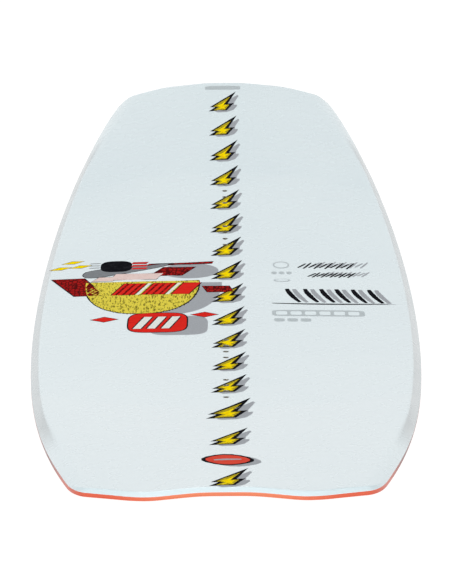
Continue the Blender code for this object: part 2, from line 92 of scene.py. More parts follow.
@dataclass(frozen=True)
class BoardShape:
    """Plan, profile and thickness of the board, in the part's own frame."""

    half_length: float = 0.760
    half_width: float = 0.219
    side_curve: float = 0.0663
    side_tightening: float = 0.0206
    side_end: float = 0.695
    corner_y: float = 0.726
    corner_share: float = 0.21
    bend_x: float = 0.0795
    bend_length: float = 0.018
    flat_spot: float = 0.040
    rocker_rise: float = 0.0633
    crease: float = 0.441
    crease_back: float = 0.062
    crown: float = 0.0031
    crown_reach: float = 0.190
    tip_slope: float = 0.125
    tip_slope_fall: float = 0.0139
    tip_corner_reach: float = 0.147
    ridge_height: float = 0.0035
    ridge_flat: float = 0.015
    ridge_foot: float = 0.077
    thickness: float = 0.015
    tip_thickness: float = 0.0085
    bevel_width: float = 0.009
    bevel_drop: float = 0.0078
    tip_bevel_width: float = 0.003
    tip_bevel_drop: float = 0.0041
    bevel_fade: tuple[float, float] = (0.500, 0.660)

    def side_half_width(self, y: Points) -> Points:
        """Half width at a distance y from the middle, along the side."""
        u = y / self.half_length
        return self.half_width - self.side_curve * u ** 2 - self.side_tightening * u ** 4

    def quarter(self, step: float) -> Points:
        """The outline from the widest point of one side to the middle of one end.

        Args:
            step: Distance between neighbouring points.

        Returns:
            Plan points, one a row.
        """
        y = np.linspace(0.0, self.side_end, round(self.side_end / step), endpoint=False)
        side = np.stack([self.side_half_width(y), y], axis=1)
        u = self.side_end / self.half_length
        lean = -(2 * self.side_curve * u + 4 * self.side_tightening * u ** 3) / self.half_length
        start = np.array((self.side_half_width(self.side_end), self.side_end))
        corner = start + (self.corner_y - self.side_end) * np.array((lean, 1.0))
        knee = np.array((self.bend_x, self.half_length))
        slant = knee - corner
        corner_end = corner + self.corner_share * slant
        knee_start = knee - slant * self.bend_length / np.linalg.norm(slant)
        knee_end = knee - (self.bend_length, 0.0)
        straight = np.linalg.norm(knee_start - corner_end)
        runs = [side]
        runs.append(bend(start, corner, corner_end, round(0.045 / step) * 2))
        runs.append(bend(corner_end, (corner_end + knee_start) / 2, knee_start, round(straight / step)))
        runs.append(bend(knee_start, knee, knee_end, round(0.036 / step)))
        x = np.linspace(knee_end[0], 0.0, round(knee_end[0] / step) + 1)
        runs.append(np.stack([x, np.full_like(x, self.half_length)], axis=1))
        return np.concatenate(runs)

    def loop(self, step: float) -> tuple[Points, Points]:
        """The whole outline, anticlockwise.

        Args:
            step: Distance between neighbouring points.

        Returns:
            Plan points and the unit normals that point inwards.
        """
        quarter = self.quarter(step)
        along = np.gradient(quarter, axis=0)
        along[0] = (0.0, 1.0)
        along[-1] = (-1.0, 0.0)
        along /= np.linalg.norm(along, axis=1)[:, None]
        inwards = np.stack([-along[:, 1], along[:, 0]], axis=1)
        points, normals = [], []
        for sign_x, sign_y in ((1, 1), (-1, 1), (-1, -1), (1, -1)):
            forwards = sign_x * sign_y > 0
            order = slice(0, -1) if forwards else slice(None, 0, -1)
            points.append(quarter[order] * (sign_x, sign_y))
            normals.append(inwards[order] * (sign_x, sign_y))
        return np.concatenate(points), np.concatenate(normals)

    def crease_y(self, x: Points) -> Points:
        """Distance from the middle at which the tip starts."""
        return self.crease - self.crease_back * (x / self.crown_reach) ** 2

    def rocker(self, y: Points) -> Points:
        """Rise of the middle's curve."""
        lift = np.maximum(np.abs(y), self.flat_spot) ** 2 - self.flat_spot ** 2
        return self.rocker_rise * lift / self.half_length ** 2

    def deck(self, x: Points, y: Points) -> Points:
        """Height of the deck's surface, bevel left out."""
        x, y = np.abs(x), np.abs(y)
        start = self.crease_y(x)
        run = np.maximum(y - start, 0.0)
        middle = self.rocker(np.minimum(y, start)) - self.crown * (x / self.crown_reach) ** 2
        slope = self.tip_slope - self.tip_slope_fall * (x / self.tip_corner_reach) ** 2
        across = smooth_step(x, self.ridge_flat, self.ridge_foot)
        reach = self.half_length - self.crease
        ridge = self.ridge_height * (1.0 - across) * (run / reach) ** 2
        return self.thickness + middle + slope * run + ridge

    def base(self, x: Points, y: Points) -> Points:
        """Height of the running surface underneath."""
        start = self.crease_y(np.abs(x))
        share = np.clip((np.abs(y) - start) / (self.half_length - start), 0.0, 1.0)
        middle = self.thickness - self.crown * (x / self.crown_reach) ** 2
        return self.deck(x, y) - middle - (self.tip_thickness - middle) * share

    def bevel(self, y: Points) -> tuple[Points, Points]:
        """Width and drop of the bevel along the edge, at a distance y from the middle."""
        start, end = self.bevel_fade
        share = np.clip((end - np.abs(y)) / (end - start), 0.0, 1.0)
        width = self.tip_bevel_width + (self.bevel_width - self.tip_bevel_width) * share
        drop = self.tip_bevel_drop + (self.bevel_drop - self.tip_bevel_drop) * share
        return width, drop

    def place(self, surface: Callable, x: float, y: float) -> Matrix:
        """The frame that stands on a surface: Z along its normal, Y along the board."""
        step = 0.002
        slope_x = (surface(x + step, y) - surface(x - step, y)) / (2 * step)
        slope_y = (surface(x, y + step) - surface(x, y - step)) / (2 * step)
        normal = Vector((-slope_x, -slope_y, 1.0)).normalized()
        along = Vector((0.0, 1.0, slope_y)).normalized()
        across = along.cross(normal).normalized()
        result = Matrix((across, normal.cross(across), normal)).transposed().to_4x4()
        result.translation = (x, y, float(surface(x, y)))
        return result


SHAPE = BoardShape()


# ---------------------------------------------------------------------------
# Node trees
# ---------------------------------------------------------------------------


class Value:
    """One output of a shader tree, with arithmetic that adds Math nodes."""

    def __init__(self, graph: "Graph", socket: bpy.types.NodeSocket) -> None:
        """Keeps the tree and the socket."""
        self.graph = graph
        self.socket = socket

    def maths(self, operation: str, first: object, second: object = None) -> "Value":
        """Adds a Math node to the tree.

        Args:
            operation: The node's operation.
            first: Its first value or link.
            second: Its second value or link, where it has one.

        Returns:
            The node's result.
        """
        inputs = {0: first} if second is None else {0: first, 1: second}
        return self.graph.node("ShaderNodeMath", {"operation": operation}, inputs)

    def __add__(self, other: object) -> "Value":
        """Sum."""
        return self.maths("ADD", self, other)

    def __radd__(self, other: object) -> "Value":
        """Sum, from the right."""
        return self.maths("ADD", other, self)

    def __sub__(self, other: object) -> "Value":
        """Difference."""
        return self.maths("SUBTRACT", self, other)

    def __rsub__(self, other: object) -> "Value":
        """Difference, from the right."""
        return self.maths("SUBTRACT", other, self)

    def __mul__(self, other: object) -> "Value":
        """Product."""
        return self.maths("MULTIPLY", self, other)

    def __rmul__(self, other: object) -> "Value":
        """Product, from the right."""
        return self.maths("MULTIPLY", other, self)

    def wave(self) -> "Value":
        """The sine of this value, from 0 to 1."""
        return self.maths("SINE", self) * 0.5 + 0.5


class Graph:
    """A material's shader tree around one Principled BSDF."""

    def __init__(self, name: str) -> None:
        """Makes an empty material of that name."""
        self.material = bpy.data.materials.new(name)
        self.material.use_nodes = True
        self.tree = self.material.node_tree
        self.shader = self.tree.nodes["Principled BSDF"]

    def node(self, kind: str, settings: dict, inputs: dict, output: object = 0) -> Value:
        """Adds one node.

        Args:
            kind: The node's type.
            settings: Its properties, which are set first.
            inputs: Values or links of its sockets, by name or number.
            output: Name or number of the output that is wanted.

        Returns:
            That output.
        """
        made = self.tree.nodes.new(kind)
        for key, value in settings.items():
            setattr(made, key, value)
        for key, value in inputs.items():
            self.feed(made.inputs[key], value)
        return Value(self, made.outputs[output])

    def feed(self, socket: bpy.types.NodeSocket, value: object) -> None:
        """Links a Value to a socket, or sets the socket's own value."""
        if isinstance(value, Value):
            self.tree.links.new(value.socket, socket)
        elif socket.type == "RGBA":
            socket.default_value = (*value, OPAQUE)
        else:
            socket.default_value = value

    def set(self, **inputs: object) -> None:
        """Sets or links the shader's sockets; an underscore stands for a space."""
        for key, value in inputs.items():
            self.feed(self.shader.inputs[key.replace("_", " ")], value)

    def place(self, scale: tuple = (1.0, 1.0, 1.0), turn: tuple = (0.0, 0.0, 0.0)) -> Value:
        """Object coordinates, scaled and turned."""
        source = self.node("ShaderNodeTexCoord", {}, {}, "Object")
        return self.node("ShaderNodeMapping", {}, {"Vector": source, "Scale": scale, "Rotation": turn})

    def noise(self, place: Value, scale: float, detail: float = 2.0, rough: float = 0.5) -> Value:
        """A noise pattern from 0 to 1."""
        inputs = {"Vector": place, "Scale": scale, "Detail": detail, "Roughness": rough}
        return self.node("ShaderNodeTexNoise", {}, inputs, "Fac")

    def cells(self, place: Value, scale: float, feature: str = "F1") -> Value:
        """A cell pattern, as a distance."""
        inputs = {"Vector": place, "Scale": scale}
        return self.node("ShaderNodeTexVoronoi", {"feature": feature}, inputs, "Distance")

    def stored(self, name: str) -> Value:
        """A value that the mesh carries on its points."""
        return self.node("ShaderNodeAttribute", {"attribute_name": name}, {}, "Fac")

    def ramp(self, value: Value, low: float, high: float) -> Value:
        """0 below low, 1 above high, and smooth between them."""
        settings = {"interpolation_type": "SMOOTHSTEP"}
        return self.node("ShaderNodeMapRange", settings, {"Value": value, "From Min": low, "From Max": high})

    def blend(self, share: object, first: object, second: object) -> Value:
        """A colour between two colours."""
        return self.node("ShaderNodeMix", {"data_type": "RGBA"}, {0: share, 6: first, 7: second}, 2)

    def parts(self, vector: Value) -> tuple[Value, Value, Value]:
        """The three numbers of a vector."""
        made = self.node("ShaderNodeSeparateXYZ", {}, {"Vector": vector}).socket.node
        return tuple(Value(self, made.outputs[k]) for k in range(3))

    def bump(self, height: Value, strength: float, distance: float) -> None:
        """Raises the surface by a pattern."""
        inputs = {"Height": height, "Strength": strength, "Distance": distance}
        self.set(Normal=self.node("ShaderNodeBump", {}, inputs))


def linear(red: float, green: float, blue: float) -> Colour:
    """A colour given on the 0 to 255 display scale, as the shader's linear values."""
    shares = [channel / 255 for channel in (red, green, blue)]
    return tuple(s / 12.92 if s <= 0.04045 else ((s + 0.055) / 1.055) ** 2.4 for s in shares)


# ---------------------------------------------------------------------------
# Finishes
# ---------------------------------------------------------------------------


class Pattern(Enum):
    """How an ink's second colour is laid over its first."""

    FLECKED = "flecked"
    HATCHED = "hatched"
    FURRY = "furry"
    SCALY = "scaly"
    DOTTED = "dotted"
    BRUSHED = "brushed"


class Finish:
    """A recipe for a material; each kind paints its own shader tree."""

    def paint(self, graph: Graph) -> None:
        """Fills a fresh shader tree."""
        raise NotImplementedError

    def make(self, name: str) -> bpy.types.Material:
        """The finish as a new material of that name."""
        graph = Graph(name)
        self.paint(graph)
        return graph.material


@dataclass(frozen=True)
class GlossWhite(Finish):
    """White topsheet under a clear coat, with faint ripple and specks."""

    colour: Colour = linear(216, 231, 235)
    shade: Colour = linear(211, 227, 232)
    # edge is painted shade: the grey that the bevel gets in place of the light it loses
    edge: Colour = linear(158, 171, 175)
    speck: Colour = linear(190, 200, 205)

    def paint(self, graph: Graph) -> None:
        """Coat over a white that gets painted shade along the bevel."""
        place = graph.place()
        cloud = graph.ramp(graph.noise(place, 6.0, 3.0), 0.3, 0.7)
        dust = graph.ramp(graph.cells(place, 900.0), 0.10, 0.06)
        tone = graph.blend(cloud, self.colour, self.shade)
        # Painted shade: the bevel is blended towards the grey edge colour.
        tone = graph.blend(graph.stored(BEVEL_SHADE_SHARE), tone, self.edge)
        graph.set(Base_Color=graph.blend(dust * 0.25, tone, self.speck))
        graph.set(Roughness=0.22 + 0.10 * graph.noise(place, 40.0, 4.0))
        graph.set(Coat_Weight=0.85 + 0.15 * cloud, Coat_Roughness=0.06, Specular_IOR_Level=0.4)
        graph.bump(graph.noise(place, 60.0, 2.0), 0.006, 0.0004)


@dataclass(frozen=True)
class Ink(Finish):
    """Printed ink, duller than the coat round it."""

    colour: Colour
    second: Colour
    pattern: Pattern = Pattern.FLECKED
    share: float = 0.5
    scale: float = 1.0
    turn: float = 0.0

    def mask(self, graph: Graph) -> Value:
        """Where the second colour lies, from 0 to 1."""
        turn = (0.0, 0.0, self.turn)
        if self.pattern is Pattern.HATCHED:
            across, _, _ = graph.parts(graph.place(turn=turn))
            wander = graph.noise(graph.place(), 160.0, 2.0)
            line = (across * 2400.0 * self.scale + wander * 9.0).wave()
            return graph.ramp(line, 0.62, 0.9)
        if self.pattern is Pattern.FURRY:
            long = graph.place((1.0, 0.22, 1.0), turn)
            return graph.ramp(graph.noise(long, 520.0 * self.scale, 3.0, 0.7), 0.50, 0.62)
        if self.pattern is Pattern.SCALY:
            edge = graph.cells(graph.place((1.0, 0.6, 1.0), turn), 210.0 * self.scale, "DISTANCE_TO_EDGE")
            return graph.ramp(edge, 0.16, 0.05)
        if self.pattern is Pattern.DOTTED:
            return graph.ramp(graph.cells(graph.place(turn=turn), 420.0 * self.scale), 0.42, 0.30)
        if self.pattern is Pattern.BRUSHED:
            long = graph.place((0.12, 1.0, 1.0), turn)
            return graph.ramp(graph.noise(long, 420.0 * self.scale, 4.0, 0.6), 0.50, 0.72)
        return graph.ramp(graph.noise(graph.place(), 240.0 * self.scale, 5.0, 0.7), 0.48, 0.66)

    def paint(self, graph: Graph) -> None:
        """Second colour over the first, where the pattern lies."""
        place = graph.place()
        graph.set(Base_Color=graph.blend(self.mask(graph) * self.share, self.colour, self.second))
        graph.set(Roughness=0.45 + 0.10 * graph.noise(place, 60.0, 3.0), Specular_IOR_Level=0.0)
        graph.bump(graph.noise(place, 90.0, 2.0), 0.02, 0.0004)


@dataclass(frozen=True)
class OrangePlastic(Finish):
    """Orange sidewall and base plastic, finely scored along the board."""

    colour: Colour = linear(210, 84, 52)
    middle: Colour = linear(216, 120, 80)
    # side is painted shade: the dark orange that stands for the sidewall's rim in shadow along the sides
    side: Colour = linear(128, 60, 52)
    scratch: Colour = linear(250, 190, 160)
    middle_ends: tuple[float, float] = (0.12, 0.03)
    side_shade_starts: tuple[float, float] = (0.148, 0.172)

    def paint(self, graph: Graph) -> None:
        """Orange that pales at the tips' rim, with painted shade that darkens the sides' rim."""
        place = graph.place()
        across, _, _ = graph.parts(place)
        distance = across.maths("ABSOLUTE", across)
        rim = graph.stored(RIM_SHARE)
        tone = graph.blend(graph.ramp(distance, *self.middle_ends) * rim * 0.8, self.colour, self.middle)
        # Painted shade: the sides' rim is blended towards the dark side colour.
        tone = graph.blend(graph.ramp(distance, *self.side_shade_starts) * rim, tone, self.side)
        streaks = graph.noise(graph.place((1.0, 0.03, 1.0)), 900.0, 3.0, 0.6)
        score = graph.ramp(streaks, 0.60, 0.74)
        patch = graph.ramp(graph.noise(place, 9.0, 4.0), 0.35, 0.75)
        graph.set(Base_Color=graph.blend(score * patch * 0.35, tone, self.scratch))
        graph.set(Roughness=0.34 + 0.20 * score + 0.06 * patch)
        graph.bump(streaks, 0.15, 0.0002)


@dataclass(frozen=True)
class CoreWood(Finish):
    """Light stringer wood with long grain and open pores."""

    light: Colour = (0.62, 0.45, 0.26)
    dark: Colour = (0.40, 0.25, 0.12)

    def paint(self, graph: Graph) -> None:
        """Wavy grain with dark pores."""
        long = graph.place((1.0, 0.06, 1.0))
        rings, _, _ = graph.parts(graph.place())
        wander = graph.noise(long, 30.0, 3.0)
        grain = (rings * 900.0 + wander * 24.0).wave()
        pores = graph.ramp(graph.noise(graph.place((1.0, 0.03, 1.0)), 1400.0, 2.0), 0.60, 0.70)
        tone = graph.blend(grain, self.light, self.dark)
        graph.set(Base_Color=graph.blend(pores * 0.6, tone, self.dark), Roughness=0.62 + 0.2 * grain)
        graph.bump(grain * 0.4 - pores, 0.3, 0.0003)


@dataclass(frozen=True)
class GlassCloth(Finish):
    """Resin-wet glass cloth with a plain weave."""

    thread: Colour = (0.70, 0.74, 0.64)
    resin: Colour = (0.46, 0.52, 0.42)
    pitch: float = 0.0018

    def paint(self, graph: Graph) -> None:
        """Weave of threads in cloudy resin."""
        across, along, _ = graph.parts(graph.place())
        turn = 2 * math.pi / self.pitch
        weave = (across * turn).wave() * (along * turn).wave()
        cloud = graph.noise(graph.place(), 14.0, 3.0)
        tone = graph.blend(graph.ramp(weave, 0.05, 0.5), self.resin, self.thread)
        graph.set(Base_Color=graph.blend(cloud * 0.3, tone, self.resin), Roughness=0.28 + 0.2 * cloud)
        graph.bump(weave, 0.4, 0.0002)


@dataclass(frozen=True)
class FilledResin(Finish):
    """Dense dark block with pale filler grains, for the insert blocks and the fins."""

    colour: Colour = (0.020, 0.021, 0.023)
    grain: Colour = (0.055, 0.057, 0.060)
    scuff: Colour = (0.14, 0.14, 0.145)
    coarseness: float = 1.0

    def paint(self, graph: Graph) -> None:
        """Specks, scuffs and a pebbled surface."""
        place = graph.place()
        specks = graph.ramp(graph.noise(place, 900.0 * self.coarseness, 4.0, 0.7), 0.5, 0.75)
        scuffs = graph.ramp(graph.noise(graph.place((1.0, 0.15, 1.0)), 120.0, 5.0, 0.7), 0.6, 0.75)
        tone = graph.blend(specks, self.colour, self.grain)
        graph.set(Base_Color=graph.blend(scuffs * 0.3, tone, self.scuff))
        graph.set(Roughness=0.38 + 0.25 * specks)
        graph.bump(specks + graph.noise(place, 2200.0, 2.0) * 0.5, 0.25, 0.0002)


@dataclass(frozen=True)
class TurnedMetal(Finish):
    """Machined metal with fine turning marks."""

    colour: Colour
    dull: Colour

    def paint(self, graph: Graph) -> None:
        """Turning marks and dull stains."""
        place = graph.place()
        marks = graph.noise(graph.place((1.0, 1.0, 9.0)), 1500.0, 2.0)
        stain = graph.ramp(graph.noise(place, 400.0, 4.0), 0.45, 0.7)
        graph.set(Base_Color=graph.blend(stain * 0.6, self.colour, self.dull))
        graph.set(Metallic=1.0 - 0.15 * stain, Roughness=0.20 + 0.18 * marks + 0.15 * stain)
        graph.bump(marks, 0.2, 0.0001)


# ---------------------------------------------------------------------------
# Meshes
# ---------------------------------------------------------------------------


def inside(points: Points, loop: Points) -> Points:
    """Tells which points lie inside a closed outline."""
    x, y = points[:, 0][:, None], points[:, 1][:, None]
    start, end = loop, np.roll(loop, -1, axis=0)
    crosses = (start[:, 1] > y) != (end[:, 1] > y)
    rise = np.where(end[:, 1] == start[:, 1], 1e-12, end[:, 1] - start[:, 1])
    at = start[:, 0] + (y - start[:, 1]) * (end[:, 0] - start[:, 0]) / rise
    return (crosses & (x < at)).sum(axis=1) % 2 == 1


def clear_of(points: Points, others: Points, distance: float) -> Points:
    """Tells which points keep a distance to every one of the others."""
    result = np.ones(len(points), bool)
    for start in range(0, len(others), 200):
        gap = points[:, None, :] - others[None, start:start + 200, :]
        result &= (gap ** 2).sum(axis=2).min(axis=1) > distance ** 2
    return result


def circle(x: float, y: float, radius: float, count: int) -> Points:
    """Points round a circle."""
    angle = np.arange(count) * 2 * math.pi / count
    return np.stack([x + radius * np.cos(angle), y + radius * np.sin(angle)], axis=1)


ROW_RISE = 0.866     # distance between rows of an even triangle grid, as a share of its spacing
LEAST_GAP = 0.55     # closest that an inner point comes to a fixed one, as a share of the spacing
HOLE_SIDES = 24
SLIVER = 1e-13       # twice the area under which a triangle is dropped


def fill(loop: Points, spacing: float, holes: Sequence = (), lines: Sequence = ()) -> tuple[Points, Points]:
    """Fills an outline with triangles of an even size.

    Args:
        loop: The outline, closed from its last point to its first.
        spacing: Distance between the points inside.
        holes: Round holes, as (x, y, radius).
        lines: Rows of points inside that the triangles follow.

    Returns:
        Plan points, and triangles that turn anticlockwise.
    """
    low, high = loop.min(axis=0), loop.max(axis=0)
    rows = np.arange(low[1], high[1], spacing * ROW_RISE)
    grid = [(x + (k % 2) * spacing / 2, y) for k, y in enumerate(rows)
            for x in np.arange(low[0], high[0], spacing)]
    rings = [circle(x, y, radius, HOLE_SIDES) for x, y, radius in holes]
    fixed = [loop, *rings, *lines]
    inner = np.array(grid).reshape(-1, 2)
    inner = inner[inside(inner, loop)] if len(inner) else inner
    inner = inner[clear_of(inner, np.concatenate(fixed), spacing * LEAST_GAP)] if len(inner) else inner
    for x, y, radius in holes:
        inner = inner[np.hypot(inner[:, 0] - x, inner[:, 1] - y) > radius]
    edges, start = [], 0
    for number, run in enumerate(fixed):
        count = len(run)
        closed = number <= len(rings)
        edges += [(start + k, start + (k + 1) % count) for k in range(count if closed else count - 1)]
        start += count
    every = np.concatenate([*fixed, inner])
    found = delaunay_2d_cdt([Vector(p) for p in every], edges, [], 1, 1e-7)
    points = np.array([tuple(p) for p in found[0]])
    triangles = np.array(found[2])
    middle = points[triangles].mean(axis=1)
    keep = inside(middle, loop)
    for x, y, radius in holes:
        keep &= np.hypot(middle[:, 0] - x, middle[:, 1] - y) > radius * 0.99
    triangles = triangles[keep]
    a, b, c = (points[triangles[:, k]] for k in range(3))
    turn = (b[:, 0] - a[:, 0]) * (c[:, 1] - a[:, 1]) - (b[:, 1] - a[:, 1]) * (c[:, 0] - a[:, 0])
    triangles[turn < 0] = triangles[turn < 0][:, ::-1]
    return points, triangles[np.abs(turn) > SLIVER]


def closed_sheet(name: str, points: Points, faces: list, top: Points, bottom: Points) -> bpy.types.Mesh:
    """A closed solid between two heights over the same plan.

    Args:
        name: The mesh's name.
        points: Plan points.
        faces: Faces that turn anticlockwise from above.
        top: Height of the upper side at each point.
        bottom: Height of the lower side at each point.

    Returns:
        The mesh, with walls along every open edge.
    """
    count = len(points)
    vertices = [(*p, z) for p, z in zip(points, top)] + [(*p, z) for p, z in zip(points, bottom)]
    used = {(face[k - 1], face[k]) for face in faces for k in range(len(face))}
    walls = [(a + count, b + count, b, a) for a, b in used if (b, a) not in used]
    under = [tuple(k + count for k in reversed(face)) for face in faces]
    mesh = bpy.data.meshes.new(name)
    mesh.from_pydata(vertices, [], [tuple(face) for face in faces] + under + sorted(walls))
    shape = bmesh.new()
    shape.from_mesh(mesh)
    loose = [v for v in shape.verts if not v.link_faces]
    bmesh.ops.delete(shape, geom=loose, context="VERTS")
    shape.to_mesh(mesh)
    shape.free()
    return mesh


FLAT_SHARE = 0.9     # a hexagon's reach to its flats, as a share of the round socket's radius


def turned(name: str, profile: Sequence, sides: int, socket: float = 0.0) -> bpy.types.Mesh:
    """A turned solid.

    Args:
        name: The mesh's name.
        profile: (radius, height) points that start and end on the axis.
        sides: Faces round the axis.
        socket: A radius at which the rings are hexagons, as in a key's socket.

    Returns:
        The mesh.
    """
    rings = profile[1:-1]
    vertices = [(0.0, 0.0, profile[0][1])]
    for radius, height in rings:
        for k in range(sides):
            angle = 2 * math.pi * k / sides
            from_flat = (angle + math.pi / 6) % (math.pi / 3) - math.pi / 6
            reach = radius * (FLAT_SHARE / math.cos(from_flat) if radius == socket else 1.0)
            vertices.append((reach * math.cos(angle), reach * math.sin(angle), height))
    last = len(vertices)
    vertices.append((0.0, 0.0, profile[-1][1]))
    faces = []
    for k in range(sides):
        after = (k + 1) % sides
        faces.append((0, 1 + after, 1 + k))
        for ring in range(len(rings) - 1):
            a = 1 + ring * sides
            faces.append((a + k, a + after, a + sides + after, a + sides + k))
        a = 1 + (len(rings) - 1) * sides
        faces.append((a + k, a + after, last))
    return solid(name, vertices, faces)


def solid(name: str, vertices: Sequence, faces: Sequence) -> bpy.types.Mesh:
    """A closed mesh with its faces turned outwards."""
    mesh = bpy.data.meshes.new(name)
    mesh.from_pydata(vertices, [], faces)
    shape = bmesh.new()
    shape.from_mesh(mesh)
    bmesh.ops.recalc_face_normals(shape, faces=shape.faces)
    shape.to_mesh(mesh)
    shape.free()
    return mesh


def smooth(mesh: bpy.types.Mesh, angle: float = 35.0) -> None:
    """Shades a mesh smooth, with its edges sharp past an angle in degrees."""
    mesh.shade_smooth()
    mesh.set_sharp_from_angle(angle=math.radians(angle))


def finish_piece(name: str, mesh: bpy.types.Mesh, material: bpy.types.Material,
                 replaces: Sequence[str] = ()) -> bpy.types.Object:
    """Adds a piece that rides with the board.

    Args:
        name: The piece's name.
        mesh: Its mesh, with its place in the vertices.
        material: Its finish.
        replaces: CAD nodes that it stands for.

    Returns:
        The object.
    """
    mesh.materials.clear()
    mesh.materials.append(material)
    piece = bpy.data.objects.new(name, mesh)
    bpy.context.scene.collection.objects.link(piece)
    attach(piece, BODY)
    if replaces:
        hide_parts(*replaces)
    LOG.info("%s: %d faces", name, len(mesh.polygons))
    return piece


# ---------------------------------------------------------------------------
# Repeated pieces by Geometry Nodes
# ---------------------------------------------------------------------------


@dataclass
class Repeater:
    """A Geometry Nodes tree that sets one fitting at every point of a mesh."""

    name: str
    material: bpy.types.Material
    size: float = 1.0
    loose_turn: float = 0.0
    seed: int = 7

    def tree(self) -> tuple[bpy.types.NodeTree, dict]:
        """Builds the tree.

        Returns:
            The tree, and the identifier of each named input.
        """
        tree = bpy.data.node_groups.new(self.name, "GeometryNodeTree")
        face = tree.interface
        face.new_socket("Places", in_out="INPUT", socket_type="NodeSocketGeometry")
        kinds = {"Fitting": "Object", "Size": "Float", "Loose Turn": "Float", "Seed": "Int",
                 "Finish": "Material"}
        named = {key: face.new_socket(key, in_out="INPUT", socket_type=f"NodeSocket{kind}").identifier
                 for key, kind in kinds.items()}
        face.new_socket("Fittings", in_out="OUTPUT", socket_type="NodeSocketGeometry")
        new, link = tree.nodes.new, tree.links.new
        given, result = new("NodeGroupInput"), new("NodeGroupOutput")
        info, instance = new("GeometryNodeObjectInfo"), new("GeometryNodeInstanceOnPoints")
        turn, jitter = new("GeometryNodeInputNamedAttribute"), new("FunctionNodeRandomValue")
        own, scale = new("GeometryNodeInputNamedAttribute"), new("ShaderNodeVectorMath")
        rotate, spin = new("GeometryNodeRotateInstances"), new("ShaderNodeCombineXYZ")
        realize, paint = new("GeometryNodeRealizeInstances"), new("GeometryNodeSetMaterial")
        negative = new("ShaderNodeMath")
        for source, name in ((turn, "turn"), (own, "own_size")):
            source.data_type = "FLOAT_VECTOR"
            source.inputs["Name"].default_value = name
        scale.operation = "SCALE"
        jitter.data_type = "FLOAT"
        negative.operation = "MULTIPLY"
        negative.inputs[1].default_value = -1.0
        link(given.outputs["Fitting"], info.inputs["Object"])
        link(given.outputs["Places"], instance.inputs["Points"])
        link(info.outputs["Geometry"], instance.inputs["Instance"])
        link(turn.outputs["Attribute"], instance.inputs["Rotation"])
        link(own.outputs["Attribute"], scale.inputs[0])
        link(given.outputs["Size"], scale.inputs["Scale"])
        link(scale.outputs["Vector"], instance.inputs["Scale"])
        link(given.outputs["Loose Turn"], negative.inputs[0])
        link(negative.outputs[0], jitter.inputs[2])
        link(given.outputs["Loose Turn"], jitter.inputs[3])
        link(given.outputs["Seed"], jitter.inputs["Seed"])
        link(jitter.outputs[1], spin.inputs["Z"])
        link(instance.outputs[0], rotate.inputs["Instances"])
        link(spin.outputs[0], rotate.inputs["Rotation"])
        link(rotate.outputs[0], realize.inputs[0])
        link(realize.outputs[0], paint.inputs["Geometry"])
        link(given.outputs["Finish"], paint.inputs["Material"])
        link(paint.outputs[0], result.inputs[0])
        return tree, named

    def run(self, fitting: bpy.types.Mesh, places: Sequence[Matrix]) -> bpy.types.Mesh:
        """Sets the fitting at every place.

        Args:
            fitting: The mesh that is repeated.
            places: Its frames.

        Returns:
            One plain mesh with all of them.
        """
        points = bpy.data.meshes.new(self.name)
        points.from_pydata([tuple(place.translation) for place in places], [], [])
        turn = points.attributes.new("turn", "FLOAT_VECTOR", "POINT")
        own = points.attributes.new("own_size", "FLOAT_VECTOR", "POINT")
        for k, place in enumerate(places):
            turn.data[k].vector = place.to_euler()
            own.data[k].vector = place.to_scale()
        pattern = bpy.data.objects.new(f"{self.name}_pattern", fitting)
        holder = bpy.data.objects.new(f"{self.name}_places", points)
        bpy.context.scene.collection.objects.link(holder)
        tree, named = self.tree()
        modifier = holder.modifiers.new(self.name, "NODES")
        modifier.node_group = tree
        values = {"Fitting": pattern, "Size": self.size, "Loose Turn": self.loose_turn,
                  "Seed": self.seed, "Finish": self.material}
        for key, value in values.items():
            modifier[named[key]] = value
        bpy.context.view_layer.update()
        evaluated = holder.evaluated_get(bpy.context.evaluated_depsgraph_get())
        mesh = bpy.data.meshes.new_from_object(evaluated)
        holder.modifiers.remove(modifier)
        bpy.data.objects.remove(holder)
        bpy.data.objects.remove(pattern)
        mesh.name = self.name
        return mesh


def cut(mesh: bpy.types.Mesh, cutter: bpy.types.Mesh) -> bpy.types.Mesh:
    """A mesh with another one's shape taken out of it."""
    scene = bpy.context.scene.collection
    target = bpy.data.objects.new("cut_target", mesh)
    tool = bpy.data.objects.new("cut_tool", cutter)
    scene.objects.link(target)
    scene.objects.link(tool)
    modifier = target.modifiers.new("cut", "BOOLEAN")
    modifier.operation = "DIFFERENCE"
    modifier.object = tool
    bpy.context.view_layer.update()
    result = bpy.data.meshes.new_from_object(target.evaluated_get(bpy.context.evaluated_depsgraph_get()))
    result.name = mesh.name
    bpy.data.objects.remove(target)
    bpy.data.objects.remove(tool)
    return result


# ---------------------------------------------------------------------------
# Deck, sidewall and base
# ---------------------------------------------------------------------------


@dataclass
class Fittings:
    """Where the binding inserts and the fins sit."""

    insert_first: float = 0.1778
    insert_pitch: float = 0.022225
    insert_pattern: float = 0.1524
    per_row: int = 4
    fin_x: float = 0.1015
    fin_y: float = 0.620
    screw_spread: float = 0.037

    def insert_rows(self) -> list[float]:
        """The y of every insert."""
        steps = [group * self.insert_pattern + step * self.insert_pitch
                 for group in range(2) for step in range(self.per_row)]
        return [sign * (self.insert_first + step) for sign in (-1, 1) for step in steps]

    def inserts(self) -> list[Matrix]:
        """Deck frames of the inserts."""
        return [SHAPE.place(SHAPE.deck, 0.0, y) for y in self.insert_rows()]

    def fins(self) -> dict[str, Matrix]:
        """Base frames of the fins, by name."""
        return {f"{end}_{hand}": SHAPE.place(SHAPE.base, sign_x * self.fin_x, sign_y * self.fin_y)
                for end, sign_y in (("rear", -1), ("front", 1))
                for hand, sign_x in (("left", -1), ("right", 1))}

    def screw_shifts(self) -> list[Matrix]:
        """Where the two screws sit in a fin's frame."""
        return [Matrix.Translation((0.0, sign * self.screw_spread, 0.0)) for sign in (-1, 1)]

    def screws(self) -> list[Matrix]:
        """Base frames of the fin screws."""
        return [place @ shift for place in self.fins().values() for shift in self.screw_shifts()]


FITTINGS = Fittings()


